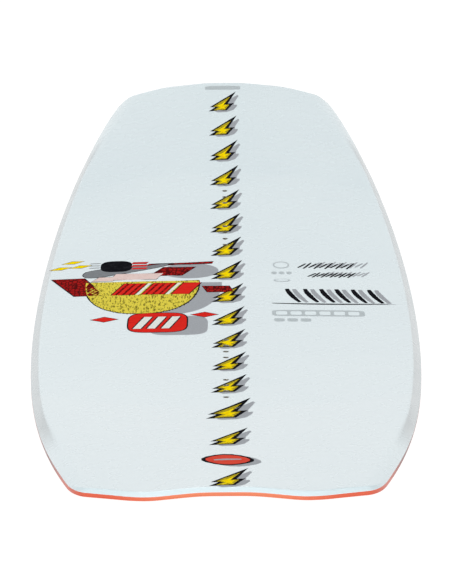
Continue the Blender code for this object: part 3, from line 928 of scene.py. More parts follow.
@dataclass
class Edge:
    """How the deck turns down to the widest line: a crisp bevel beside the feet, a soft
    roll beside the tips and a small lip round the ends."""

    step: float = 0.0045
    width: float = 0.0163
    crest: float = 0.12
    roll_start: tuple[float, float] = (0.42, 0.58)
    roll_end: tuple[float, float] = (0.700, 0.742)
    shares: tuple[float, ...] = (0.0, 0.03, 0.10, 0.30, 0.55, 0.75, 0.88, 0.97, 1.05, 1.16, 1.35)

    def insets(self, y: Points) -> list[Points]:
        """Distances in from the outline of the rings that draw the edge."""
        width, _ = SHAPE.bevel(y)
        rings = [share * width for share in self.shares]
        reached = rings[-1]
        return rings + [reached + (self.width - reached) * share for share in (0.5, 1.0)]

    def drop(self, inset: Points, y: Points) -> Points:
        """How far the surface lies below the deck at a distance in from the outline."""
        width, drop = SHAPE.bevel(y)
        lean = 1.0 - inset / width
        end = 1.0 - self.width / width
        bevel = 0.5 * (lean + np.sqrt(lean ** 2 + self.crest ** 2))
        tail = 0.5 * (end + np.sqrt(end ** 2 + self.crest ** 2))
        start = 0.5 * (1.0 + math.sqrt(1.0 + self.crest ** 2))
        bevel = (bevel - tail) / (start - tail)
        roll = np.clip(1.0 - inset / self.width, 0.0, 1.0) ** 2
        distance = np.abs(y)
        soft = smooth_step(distance, *self.roll_start) * (1.0 - smooth_step(distance, *self.roll_end))
        return drop * (bevel + (roll - bevel) * soft)


def ring_faces(rings: int, count: int) -> list:
    """Quads between neighbouring closed rings, the first one outermost, seen from above."""
    faces = []
    for ring in range(rings - 1):
        for k in range(count):
            after = (k + 1) % count
            a, b = ring * count, (ring + 1) * count
            faces.append((a + k, a + after, b + after, b + k))
    return faces


def point_places(mesh: bpy.types.Mesh) -> Points:
    """The x, y and z of the mesh's points, as three rows."""
    place = np.zeros(len(mesh.vertices) * 3)
    mesh.vertices.foreach_get("co", place)
    return place.reshape(-1, 3).T


def store_share(mesh: bpy.types.Mesh, name: str, values: Points) -> None:
    """Stores a value from 0 to 1 on each point, for a material to read."""
    mesh.attributes.new(name, "FLOAT", "POINT").data.foreach_set("value", values)


@dataclass
class Board:
    """Topsheet, sidewall ring and base, each a closed piece with its real thickness."""

    edge: Edge = field(default_factory=Edge)
    spacing: float = 0.009
    skin: float = 0.0008
    skin_edge: float = 0.0004
    base_thickness: float = 0.0012
    seam: float = 0.00008
    hole: float = 0.0065
    bevel_depths: tuple[float, float] = (0.0002, 0.0014)
    bevel_fade: tuple[float, float] = (0.48, 0.60)
    rim_height: float = 0.0002
    screw_hole: float = 0.0072
    crease_half: float = 0.0012
    crease_points: int = 70
    crease_margin: float = 0.004
    skin_taper: float = 0.004
    hole_dip: float = 0.0002
    on_ring: float = 1e-5
    wall_levels: tuple[float, ...] = (0.15, 0.5, 0.85)
    round_off: tuple = ((0.0, 0.5), (0.0002, 0.22), (0.0007, 0.0))

    def creases(self, inset: float) -> list[Points]:
        """Rows of points on both sides of each crease."""
        half = SHAPE.side_half_width(SHAPE.crease) - inset
        x = np.linspace(-half, half, self.crease_points)
        rows = []
        for sign in (-1, 1):
            for shift in (-self.crease_half, self.crease_half):
                rows.append(np.stack([x, sign * (SHAPE.crease_y(np.abs(x)) + shift)], axis=1))
        return rows

    def plan(self, holes: Sequence, insets: Callable) -> tuple[Points, list, Points]:
        """The board's plan as rings along the edge and triangles inside them.

        Args:
            holes: Round holes, as (x, y, radius).
            insets: Gives the rings' distances in from the outline for each point's y.

        Returns:
            Plan points, faces, and each point's distance in from the outline.
        """
        outline, inwards = SHAPE.loop(self.edge.step)
        steps = insets(outline[:, 1])
        rings = [outline + inwards * step[:, None] for step in steps]
        lines = self.creases(steps[-1].max() + self.crease_margin)
        inner, triangles = fill(rings[-1], self.spacing, holes, lines)
        points = np.concatenate([*rings, inner])
        distance = np.concatenate([*steps, np.full(len(inner), 1.0)])
        start = len(rings) * len(outline)
        match = {tuple(np.round(p, 7)): start - len(outline) + k for k, p in enumerate(rings[-1])}
        number = [match.get(tuple(np.round(p, 7)), start + k) for k, p in enumerate(inner)]
        faces = ring_faces(len(rings), len(outline))
        faces += [tuple(number[k] for k in triangle) for triangle in triangles]
        return points, faces, distance

    def mark_bevel_shade(self, mesh: bpy.types.Mesh) -> None:
        """Stores how much each point belongs to the bevel along the sides, where the white gets painted
        shade.
        """
        x, y, z = point_places(mesh)
        below = smooth_step(SHAPE.deck(x, y) - z, *self.bevel_depths)
        along = 1.0 - smooth_step(np.abs(y), *self.bevel_fade)
        store_share(mesh, BEVEL_SHADE_SHARE, below * along)

    def mark_rim(self, mesh: bpy.types.Mesh) -> None:
        """Stores how much each point stands above the flat underside."""
        x, y, z = point_places(mesh)
        store_share(mesh, RIM_SHARE, smooth_step(z - SHAPE.base(x, y), 0.0, self.rim_height))

    def skin_at(self, inset: Points) -> Points:
        """The topsheet's thickness at a distance in from the outline."""
        return self.skin_edge + (self.skin - self.skin_edge) * smooth_step(inset, 0.0, self.skin_taper)

    def build_topsheet(self) -> None:
        """The white deck skin with its bevel, creases and insert holes."""
        holes = [(0.0, y, self.hole / 2) for y in FITTINGS.insert_rows()]
        points, faces, inset = self.plan(holes, self.edge.insets)
        x, y = points[:, 0], points[:, 1]
        drop = self.edge.drop(np.minimum(inset, self.edge.width), y)
        top = SHAPE.deck(x, y) - drop
        for _, hole_y, radius in holes:
            reach = np.hypot(x, y - hole_y)
            top -= np.where(np.abs(reach - radius) < self.on_ring, self.hole_dip, 0.0)
        mesh = closed_sheet("deck_skin", points, faces, top, top - self.skin_at(inset))
        self.mark_bevel_shade(mesh)
        smooth(mesh, 32.0)
        finish_piece("deck_skin", mesh, GlossWhite().make("gloss_white"), ["topsheet"])

    def build_sidewall(self, orange: bpy.types.Material) -> None:
        """The orange ring between the topsheet and the base."""
        outline, inwards = SHAPE.loop(self.edge.step)
        y = outline[:, 1]
        steps = self.edge.insets(y)
        rings = []
        for step in reversed(steps):
            at = outline + inwards * step[:, None]
            gap = self.skin_at(step) + self.seam
            rings.append((at, SHAPE.deck(at[:, 0], at[:, 1]) - self.edge.drop(step, y) - gap))
        over_base = self.base_thickness + self.seam
        top, low = rings[-1][1], SHAPE.base(outline[:, 0], y) + over_base
        rings += [(outline, top + (low - top) * share) for share in self.wall_levels]
        for step in (np.zeros_like(y), steps[-1]):
            at = outline + inwards * step[:, None]
            rings.append((at, SHAPE.base(at[:, 0], at[:, 1]) + over_base))
        count = len(outline)
        vertices = [(*p, z) for at, height in rings for p, z in zip(at, height)]
        faces = ring_faces(len(rings), count)
        last = (len(rings) - 1) * count
        faces += [(last + k, last + (k + 1) % count, (k + 1) % count, k) for k in range(count)]
        mesh = solid("sidewall", vertices, faces)
        self.mark_rim(mesh)
        smooth(mesh, 40.0)
        finish_piece("sidewall", mesh, orange, ["rail"])

    def build_base(self, orange: bpy.types.Material) -> None:
        """The orange running base with a rounded lower edge and screw holes."""
        holes = [(*place.translation.xy, self.screw_hole / 2) for place in FITTINGS.screws()]
        insets, shares = zip(*self.round_off)
        steps = [*insets, self.edge.width]
        points, faces, inset = self.plan(holes, lambda y: [np.full_like(y, step) for step in steps])
        under = SHAPE.base(points[:, 0], points[:, 1])
        low = under + np.interp(inset, insets, shares) * self.base_thickness
        mesh = closed_sheet("running_base", points, faces, under + self.base_thickness, low)
        self.mark_rim(mesh)
        smooth(mesh, 40.0)
        finish_piece("running_base", mesh, orange, ["base_sheet"])

    def build(self) -> None:
        """Builds the three pieces."""
        orange = OrangePlastic().make("orange_plastic")
        self.build_topsheet()
        self.build_sidewall(orange)
        self.build_base(orange)


# ---------------------------------------------------------------------------
# Inserts, fins and screws
# ---------------------------------------------------------------------------


@dataclass
class Inserts:
    """Threaded binding inserts, each with a collar that fills the topsheet's hole."""

    below_deck: float = 0.002
    height: float = 0.010
    flange: float = 0.018
    flange_thickness: float = 0.002
    barrel: float = 0.011
    collar: float = 0.0060
    collar_top: float = 0.00035
    crest: float = 0.0025
    root: float = 0.0029
    thread_pitch: float = 0.001
    thread_start: float = 0.0004
    thread_play: float = 0.0001
    bore_depth: float = 0.0105
    sides: int = 32

    def profile(self) -> list[tuple[float, float]]:
        """Half section from the flange's middle round to the bottom of the bore."""
        low = -self.below_deck - self.height
        shoulder = low + self.flange_thickness
        flange, barrel, collar = self.flange / 2, self.barrel / 2, self.collar / 2
        outside = [(0.0, low), (flange, low), (flange, shoulder), (barrel, shoulder)]
        outside += [(barrel, -self.below_deck), (collar, -self.below_deck)]
        outside += [(collar, -self.collar_top), (self.root, -self.collar_top)]
        thread = []
        for k in range(int(self.bore_depth / self.thread_pitch) - 1):
            level = -self.collar_top - self.thread_start - k * self.thread_pitch
            thread += [(self.crest, level), (self.root - self.thread_play, level - self.thread_pitch / 2)]
        return outside + thread + [(self.crest, -self.bore_depth), (0.0, -self.bore_depth)]

    def build(self) -> None:
        """Sets one insert in every hole."""
        brass = TurnedMetal((0.40, 0.37, 0.31), (0.18, 0.16, 0.13)).make("insert_brass")
        mesh = Repeater("threaded_inserts", brass, loose_turn=1.5).run(
            turned("insert", self.profile(), self.sides), FITTINGS.inserts())
        smooth(mesh, 40.0)
        numbers = range(1, 2 * FITTINGS.per_row + 1)
        names = [f"binding_insert_{end}_{k}" for end in ("rear", "front") for k in numbers]
        finish_piece("threaded_inserts", mesh, brass, names)


@dataclass
class Fins:
    """Short moulded fins on long feet, each held by two countersunk screws."""

    depth: float = 0.020
    root: float = 0.058
    thickness: float = 0.006
    foot_length: float = 0.092
    foot_width: float = 0.018
    foot_thickness: float = 0.0035
    foot_gap: float = 0.0005
    rounding: float = 0.0007
    fillet: float = 0.0013
    section_power: float = 0.3
    tip_thinning: float = 0.65
    tip_share: float = 0.55
    screw: float = 0.0056
    screw_length: float = 0.0095
    head: float = 0.0108
    head_height: float = 0.0026
    head_round: float = 0.0003
    thread_pitch: float = 0.0008
    thread_depth: float = 0.0004
    thread_gap: float = 0.0006
    point_length: float = 0.001
    socket: float = 0.0020
    socket_depth: float = 0.0018
    clearance: float = 0.0003
    cut_margin: float = 0.001
    sides: int = 72
    outline: tuple = ((0.0, 1.0), (0.2, 0.93), (0.4, 0.84), (0.6, 0.73), (0.78, 0.60), (0.92, 0.46),
                      (0.985, 0.36), (1.0, 0.28))

    @property
    def low(self) -> float:
        """Height of the foot's lower face in the fin's frame."""
        return -self.foot_gap - self.foot_thickness

    def foot_ring(self, inset: float, level: float) -> list:
        """A ring with straight sides and round ends."""
        radius = self.foot_width / 2 - inset
        straight = self.foot_length / 2 - self.foot_width / 2
        angle = (np.arange(self.sides) + 0.5) * 2 * math.pi / self.sides
        return [(radius * math.cos(a), straight * np.sign(math.sin(a)) + radius * math.sin(a), level)
                for a in angle]

    def blade_ring(self, half_x: float, half_y: float, level: float) -> list:
        """A ring of the blade's section."""
        angle = (np.arange(self.sides) + 0.5) * 2 * math.pi / self.sides
        return [(half_x * math.cos(a) * abs(math.cos(a)) ** self.section_power, half_y * math.sin(a), level)
                for a in angle]

    def mesh(self) -> bpy.types.Mesh:
        """One fin in its base frame, hanging down."""
        top, half_x, half_y = -self.foot_gap, self.thickness / 2, self.root / 2
        rings = [self.foot_ring(self.rounding / 2, top), self.foot_ring(0.0, top - self.rounding / 2)]
        for share in (0.0, 0.3, 0.6, 0.85, 1.0):
            turn = share * math.pi / 2
            inset, rise = self.rounding * (1 - math.cos(turn)), self.rounding * (1 - math.sin(turn))
            rings.append(self.foot_ring(inset, self.low + rise))
        for share in (1.0, 0.6, 0.25, 0.0):
            reach = self.fillet * share ** 2
            level = self.low - self.fillet * (1 - share) ** 2
            rings.append(self.blade_ring(half_x + reach, half_y + reach, level))
        for drop, share in self.outline[1:]:
            thin = 1.0 - self.tip_thinning * (1.0 - share)
            tip = self.tip_share if drop == 1.0 else 1.0
            rings.append(self.blade_ring(half_x * thin * tip, half_y * share, self.low - drop * self.depth))
        vertices = [vertex for ring in rings for vertex in ring]
        caps = [tuple(range(start, start + self.sides)) for start in (0, len(vertices) - self.sides)]
        return solid("fin", vertices, [caps[0], *ring_faces(len(rings), self.sides), caps[1]])

    def screw_profile(self) -> list[tuple[float, float]]:
        """Half section of a countersunk screw with a key socket."""
        low, head, shank = self.low, self.head / 2, self.screw / 2
        end, neck = low + self.screw_length, low + self.head_height
        profile = [(0.0, low + self.socket_depth), (self.socket, low + self.socket_depth), (self.socket, low)]
        profile += [(head - self.head_round, low), (head, low + self.head_round), (shank, neck)]
        level = neck + self.thread_gap
        while level < end - self.point_length:
            profile += [(shank, level), (shank - self.thread_depth, level + self.thread_pitch / 2)]
            level += self.thread_pitch
        return profile + [(shank - self.thread_gap, end), (0.0, end)]

    def hole_profile(self) -> list[tuple[float, float]]:
        """Half section of the countersunk hole in the foot."""
        start, neck = self.low - self.cut_margin, self.low + self.head_height + self.clearance
        head, shank = self.head / 2 + self.clearance, self.screw / 2 + self.clearance
        return [(0.0, start), (head, start), (head, self.low + self.clearance), (shank, neck),
                (shank, 0.0), (0.0, 0.0)]

    def build(self) -> None:
        """Builds the four fins and their eight screws."""
        plastic = FilledResin(coarseness=0.7).make("fin_plastic")
        steel = TurnedMetal((0.60, 0.60, 0.61), (0.36, 0.36, 0.37)).make("screw_steel")
        for name, place in FITTINGS.fins().items():
            hole = turned("hole", self.hole_profile(), 32)
            cutter = Repeater("foot_holes", steel).run(hole, FITTINGS.screw_shifts())
            mesh = cut(self.mesh(), cutter)
            mesh.transform(place)
            smooth(mesh, 38.0)
            finish_piece(f"moulded_fin_{name}", mesh, plastic, [f"fin_{name}"])
        mesh = Repeater("countersunk_screws", steel, loose_turn=1.0, seed=3).run(
            turned("screw", self.screw_profile(), 36, self.socket), FITTINGS.screws())
        smooth(mesh, 40.0)
        names = [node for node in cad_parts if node.startswith("fin_screw")]
        finish_piece("countersunk_screws", mesh, steel, sorted(names))


@dataclass
class Inside:
    """Finishes of the core, the laminates and the other CAD nodes that stay."""

    def build(self) -> None:
        """Gives every node that stays its material."""
        finishes = {
            "core_": (CoreWood().make("core_wood"), "core_wood"),
            "top_laminate": (GlassCloth().make("deck_glass"), "glass_laminate"),
            "bottom_laminate": (GlassCloth(thread=(0.68, 0.72, 0.60)).make("base_glass"), "glass_laminate"),
            "insert_block": (FilledResin().make("block_resin"), "insert_block"),
            "fin_insert": (TurnedMetal((0.66, 0.52, 0.28), (0.42, 0.32, 0.17)).make("fin_insert_brass"),
                           "insert_brass"),
        }
        for name, node in sorted(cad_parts.items()):
            for start, (material, slot) in finishes.items():
                if name.startswith(start):
                    node.data.materials.clear()
                    node.data.materials.append(material)
                    LOG.info("%s keeps its CAD shape", name)


# ---------------------------------------------------------------------------
# Printed graphics
# ---------------------------------------------------------------------------


def oval(x: float, y: float, half_x: float, half_y: float, power: float = 2.0, count: int = 40) -> Points:
    """A round outline; a power over 2 squares it off."""
    angle = np.arange(count) * 2 * math.pi / count
    across, along = np.cos(angle), np.sin(angle)
    rounded = [np.sign(part) * np.abs(part) ** (2 / power) for part in (across, along)]
    return np.stack([x + half_x * rounded[0], y + half_y * rounded[1]], axis=1)


def soft(corners: Sequence, rounds: int = 3) -> Points:
    """A closed outline with its corners cut round."""
    points = np.array(corners, float)
    for _ in range(rounds):
        after = np.roll(points, -1, axis=0)
        points = np.stack([points * 0.75 + after * 0.25, points * 0.25 + after * 0.75], axis=1).reshape(-1, 2)
    return points


def grown(loop: Points, width: float) -> Points:
    """A smooth outline moved outwards."""
    along = np.roll(loop, -1, axis=0) - np.roll(loop, 1, axis=0)
    along /= np.maximum(np.linalg.norm(along, axis=1), 1e-9)[:, None]
    area = (loop[:, 0] * np.roll(loop[:, 1], -1) - np.roll(loop[:, 0], -1) * loop[:, 1]).sum()
    return loop + np.stack([along[:, 1], -along[:, 0]], axis=1) * width * np.sign(area)


def slanted(x: float, y: float, width: float, height: float, lean: float) -> Points:
    """A parallelogram round (x, y) with level ends, its top moved on by lean."""
    low, high = y - height / 2, y + height / 2
    left, right = x - width / 2, x + width / 2
    return np.array([(left - lean / 2, low), (right - lean / 2, low), (right + lean / 2, high),
                     (left + lean / 2, high)])


def brush(start: Sequence, control: Sequence, end: Sequence, width: float, taper: float = 0.25,
          seed: int = 0) -> Points:
    """The outline of one brush stroke.

    Args:
        start: Where the stroke starts.
        control: Point that its ends aim at.
        end: Where it ends.
        width: Its greatest width.
        taper: Share of the width that its ends keep.
        seed: Picks the raggedness of its sides.

    Returns:
        The outline's points.
    """
    line = np.concatenate([bend(start, control, end, 16), [end]])
    along = np.gradient(line, axis=0)
    along /= np.linalg.norm(along, axis=1)[:, None]
    across = np.stack([-along[:, 1], along[:, 0]], axis=1)
    t = np.linspace(0.0, 1.0, len(line))
    body = taper + (1.0 - taper) * np.sin(math.pi * np.clip(t * 0.9 + 0.08, 0.0, 1.0)) ** 0.6
    ragged = np.random.default_rng(seed).uniform(0.86, 1.0, (2, len(line)))
    left = line + across * (width / 2 * body * ragged[0])[:, None]
    right = line - across * (width / 2 * body * ragged[1])[:, None]
    return np.concatenate([right, left[::-1]])


LEVEL_STEP = 0.00001       # height between two levels of print
STACK_STEP = 0.0000004     # height that each outline of one print adds, so that overlaps don't clash
FINE = 0.004               # triangle spacing of the small prints


class Level(Enum):
    """How high a print's top lies over the deck, in level steps."""

    SHADOW = 3
    KEYLINE = 5
    FILL = 7
    INNER_KEYLINE = 9
    INNER = 11
    ACCENT = 13
    TOP = 15


@dataclass
class Print:
    """One ink's film on the deck, made of closed outlines in millimetres."""

    name: str
    ink: Ink
    level: Level
    outlines: list[Points]
    spacing: float = 0.006
    under: float = LEVEL_STEP

    def flat(self) -> bpy.types.Mesh:
        """The film as a flat mesh, each outline a hair higher than the one before."""
        shape = bmesh.new()
        for number, outline in enumerate(self.outlines):
            points, triangles = fill(np.array(outline) * MILLIMETRE, self.spacing)
            top = np.full(len(points), self.level.value * LEVEL_STEP + number * STACK_STEP)
            faces = [tuple(int(k) for k in triangle) for triangle in triangles]
            mesh = closed_sheet(self.name, points, faces, top, np.full(len(points), self.under))
            shape.from_mesh(mesh)
            bpy.data.meshes.remove(mesh)
        mesh = bpy.data.meshes.new(self.name)
        shape.to_mesh(mesh)
        shape.free()
        return mesh

    def finish(self) -> bpy.types.Material:
        """A new material in the print's ink."""
        return self.ink.make(f"ink_{self.name}")

    def lay(self, mesh: bpy.types.Mesh, finish: bpy.types.Material) -> None:
        """Lays a flat mesh on the deck as a piece."""
        place = np.zeros(len(mesh.vertices) * 3)
        mesh.vertices.foreach_get("co", place)
        place = place.reshape(-1, 3)
        place[:, 2] += SHAPE.deck(place[:, 0], place[:, 1])
        mesh.vertices.foreach_set("co", place.ravel())
        mesh.update()
        smooth(mesh)
        finish_piece(self.name, mesh, finish)

    def build(self) -> None:
        """Builds the film where its outlines lie."""
        self.lay(self.flat(), self.finish())


def keylines(name: str, level: Level, shapes: Sequence[Points], width: float = 1.6) -> None:
    """Builds dark borders of one width, in millimetres, under a set of shapes."""
    Print(name, CHARCOAL, level, [grown(shape, width) for shape in shapes]).build()


CHARCOAL = Ink(linear(22, 22, 26), linear(52, 53, 58), Pattern.FLECKED, 0.5)
SHADE = Ink(linear(164, 168, 173), linear(178, 182, 187), Pattern.DOTTED, 0.5)
YELLOW = Ink(linear(206, 184, 44), linear(50, 48, 24), Pattern.HATCHED, 0.85, turn=0.7)
BRIGHT = Ink(linear(252, 226, 6), linear(240, 170, 20), Pattern.FLECKED, 0.6)
FUR = Ink(linear(228, 212, 78), linear(64, 58, 22), Pattern.FURRY, 0.85, turn=0.2)
RED = Ink(linear(224, 44, 36), linear(170, 22, 24), Pattern.BRUSHED, 0.6)
SCALES = Ink(linear(166, 30, 28), linear(52, 18, 20), Pattern.SCALY, 0.85)
CORAL = Ink(linear(222, 78, 62), linear(176, 44, 40), Pattern.BRUSHED, 0.6)
GREY = Ink(linear(140, 144, 148), linear(88, 90, 94), Pattern.HATCHED, 0.7, turn=1.2)
PALE = Ink(linear(232, 236, 230), linear(200, 204, 196), Pattern.DOTTED, 0.5)
BLUSH = Ink(linear(232, 208, 202), linear(212, 180, 174), Pattern.FLECKED, 0.6)
# A pale print, lightened past the deck's white as a painted sheen for the coat's reflection that the ink
# lacks.
MIST_AND_SHEEN = Ink(linear(232, 242, 245), linear(226, 236, 240), Pattern.DOTTED, 0.5)
FAINT = Ink(linear(188, 197, 200), linear(202, 211, 214), Pattern.DOTTED, 0.5)


@dataclass
class BoltColumn:
    """Yellow flashes down the centreline, with one red mark among them."""

    first_tip: float = 0.724
    pitch: float = 0.0861
    count: int = 13
    drift: tuple[float, float, float] = (-0.0045, 0.0006, 0.001)
    rear: tuple = ((-0.400, 1.2), (-0.5235, 1.0), (-0.686, 0.95))
    shadow_shift: tuple[float, float] = (6.6, -5.0)
    outline: tuple = ((21.0, 0.0), (2.0, -29.0), (-15.5, -56.0), (-8.0, -56.5), (-17.0, -71.0),
                      (8.0, -68.0), (18.0, -42.0), (9.5, -43.5))
    inner: tuple = ((13.0, -19.0), (2.5, -33.0), (-10.5, -53.5), (-2.5, -55.0), (-10.0, -68.0),
                    (5.5, -65.5), (12.0, -46.5), (4.0, -47.0))
    glint: tuple = ((7.5, -32.0), (1.5, -44.0), (-6.0, -53.0), (0.0, -56.5), (-5.5, -65.0), (1.5, -61.0),
                    (6.5, -62.5), (4.5, -56.0), (9.5, -50.0), (3.0, -49.5))
    mark: tuple[float, float] = (1.0, -653.0)
    post: tuple[float, float] = (0.0034, 0.001)

    def places(self) -> list[Matrix]:
        """The tip of every flash, with its size."""
        start, step, most = self.drift
        tips = [(min(start + step * k, most), self.first_tip - k * self.pitch, 1.0)
                for k in range(self.count)]
        tips += [(0.0, y, size) for y, size in self.rear]
        return [Matrix.Translation((x, y, 0.0)) @ Matrix.Diagonal((size, size, 1.0, 1.0))
                for x, y, size in tips]

    def hole_cutter(self) -> bpy.types.Mesh:
        """Upright posts where the inserts come through the print."""
        radius, reach = self.post
        post = turned("post", [(0.0, -reach), (radius, -reach), (radius, reach), (0.0, reach)], HOLE_SIDES)
        places = [Matrix.Translation((0.0, y, 0.0)) for y in FITTINGS.insert_rows()]
        return Repeater("posts", CHARCOAL.make("post_ink")).run(post, places)

    def build_flashes(self) -> None:
        """The flashes, in four layers."""
        shifted = np.array(self.outline) + self.shadow_shift
        layers = [
            Print("flash_shadows", SHADE, Level.SHADOW, [soft(shifted, 1)]),
            Print("flash_keylines", CHARCOAL, Level.KEYLINE, [np.array(self.outline)]),
            Print("flash_fills", YELLOW, Level.FILL, [np.array(self.inner)]),
            Print("flash_glints", BRIGHT, Level.ACCENT, [np.array(self.glint)]),
        ]
        posts = self.hole_cutter()
        for layer in layers:
            finish = layer.finish()
            flashes = Repeater(layer.name, finish).run(layer.flat(), self.places())
            layer.lay(cut(flashes, posts), finish)

    def build_mark(self) -> None:
        """The red mark: a plain lozenge with a pale slot."""
        x, y = self.mark
        lozenge = soft([(x - 33, y + 3), (x, y + 29), (x + 33, y - 3), (x, y - 29)], 2)
        shadow = lozenge + self.shadow_shift
        slot = brush((x - 13, y - 1), (x, y + 2), (x + 13, y + 1), 6.0, 0.3, 3)
        Print("mark_shadow", SHADE, Level.SHADOW, [shadow]).build()
        Print("mark_keyline", CHARCOAL, Level.KEYLINE, [lozenge]).build()
        Print("mark_fill", CORAL, Level.FILL, [lozenge * 0.84 + np.array((x, y)) * 0.16]).build()
        Print("mark_slot", SHADE, Level.INNER, [slot]).build()

    def build(self) -> None:
        """Builds the whole column."""
        self.build_flashes()
        self.build_mark()


@dataclass
class Emblem:
    """An abstract emblem on the left: a half round, slanted bars, a striped plate, lenses."""

    centre_x: float = -98.0
    top: float = 46.0
    half_width: float = 67.0
    depth: float = 120.0
    squareness: float = 2.3
    tufts: int = 90
    tuft: tuple = ((-1.4, 2.0), (1.2, -4.2), (1.8, 2.0))

    def body(self) -> Points:
        """The half round."""
        angle = np.linspace(math.pi, 2 * math.pi, 48)
        across, down = np.cos(angle), np.sin(angle)
        x = np.sign(across) * np.abs(across) ** (2 / self.squareness)
        y = -np.abs(down) ** (2 / self.squareness)
        return np.stack([self.centre_x + self.half_width * x, self.top + self.depth * y], axis=1)

    def build_body(self) -> None:
        """The half round with its keyline, shadow and a fringe of tufts."""
        body = self.body()
        shadows = [body + (27.0, -7.0), oval(-42, 82, 34, 28)]
        Print("emblem_body_shadow", SHADE, Level.SHADOW, shadows).build()
        keylines("emblem_body_keyline", Level.KEYLINE, [body])
        Print("emblem_body", FUR, Level.FILL, [body]).build()
        fringe = Print("emblem_tufts", CHARCOAL, Level.KEYLINE, [np.array(self.tuft)])
        picks = np.linspace(3, len(body) - 4, self.tufts)
        x = np.interp(picks, np.arange(len(body)), body[:, 0])
        y = np.interp(picks, np.arange(len(body)), body[:, 1])
        places = [Matrix.Translation((px * MILLIMETRE, py * MILLIMETRE, 0.0)) for px, py in zip(x, y)]
        finish = fringe.finish()
        fringe.lay(Repeater("tufts", finish, loose_turn=0.5).run(fringe.flat(), places), finish)

    def build_stripes(self) -> None:
        """Three slanted red stripes with dark lines between them, across the half round."""
        y, height, lean = 17.0, 42.0, 14.0
        stripes = [slanted(x, y, width, height, lean) for x, width in ((-113, 26), (-78, 26), (-46, 20))]
        lines = [slanted(x, y, 3.0, height, lean) for x in (-121, -113, -105, -86, -78, -70)]
        pale = [slanted(x, y, 4.0, height, lean) for x in (-96, -61)]
        keylines("stripe_keylines", Level.INNER_KEYLINE, stripes)
        Print("stripes", RED, Level.INNER, stripes).build()
        Print("stripe_lines", SCALES, Level.ACCENT, lines, FINE).build()
        Print("stripe_gaps", PALE, Level.ACCENT, pale, FINE).build()

    def build_bars(self) -> None:
        """Dark-red scaled bars left, right and above the half round."""
        shapes = [
            np.array([(-206, 62), (-168, 62), (-142, -4), (-176, -4)], float),
            np.array([(-27, 24), (4, 24), (10, 2), (-21, 2)], float),
            np.array([(-90, 66), (-74, 96), (-36, 96), (-52, 66)], float),
            np.array([(-94, 102), (-92, 109), (-14, 115), (-16, 109)], float),
        ]
        keylines("bar_keylines", Level.KEYLINE, shapes)
        Print("scaled_bars", SCALES, Level.FILL, shapes).build()

    def build_plate(self) -> None:
        """A red plate with pale slanted stripes, and a red lozenge on both sides."""
        plate = oval(-77, -110, 33, 36, 4.0, 48)
        stripes = [slanted(x, -110.0, 9.0, 44.0, 12.0) for x in (-94, -78, -62)]
        lozenges = [np.array([(x - 15, y), (x, y - 9), (x + 15, y), (x, y + 9)], float)
                    for x, y in ((-138, -94), (-24, -82))]
        reds = [plate, *lozenges]
        Print("plate_shadow", SHADE, Level.SHADOW, [plate + (24.0, -12.0)]).build()
        keylines("plate_keylines", Level.KEYLINE, reds)
        Print("plate", RED, Level.FILL, reds).build()
        keylines("plate_stripe_keylines", Level.INNER_KEYLINE, stripes)
        Print("plate_stripes", PALE, Level.INNER, stripes).build()

    def build_top(self) -> None:
        """Grey bar, pale lenses, dark pad and small flecks above the half round."""
        bar = soft([(-172, 72), (-163, 92), (-72, 112), (-66, 104), (-118, 78), (-160, 60)], 2)
        lenses = [slanted(x, y, 2 * w, 2 * h, 8.0) for x, y, w, h in ((-106, 64, 28, 11), (-142, 57, 12, 7))]
        pad = oval(-131, 103, 19, 20, 3.0)
        dashes = [slanted(-103.0, 94 + 10 * k, 18.0, 5.0, 3.0) for k in range(3)]
        flecks = [slanted(x, y, 14.0, 9.0, 12.0) for x, y in ((-184, 122), (-174, 106), (-198, 101))]
        ticks = [slanted(-157.0, 100 + 8 * k, 12.0, 2.4, 2.0) for k in range(3)]
        keylines("top_keylines", Level.KEYLINE, [bar, *lenses, *flecks, *dashes], 1.2)
        Print("grey_bar", GREY, Level.FILL, [bar, *ticks]).build()
        Print("lenses", BLUSH, Level.INNER_KEYLINE, lenses).build()
        Print("dark_pad", CHARCOAL, Level.INNER, [pad]).build()
        Print("dashes", RED, Level.INNER, dashes, FINE).build()
        Print("flecks", BRIGHT, Level.FILL, flecks, FINE).build()

    def build(self) -> None:
        """Builds the whole emblem."""
        self.build_body()
        self.build_stripes()
        self.build_bars()
        self.build_plate()
        self.build_top()


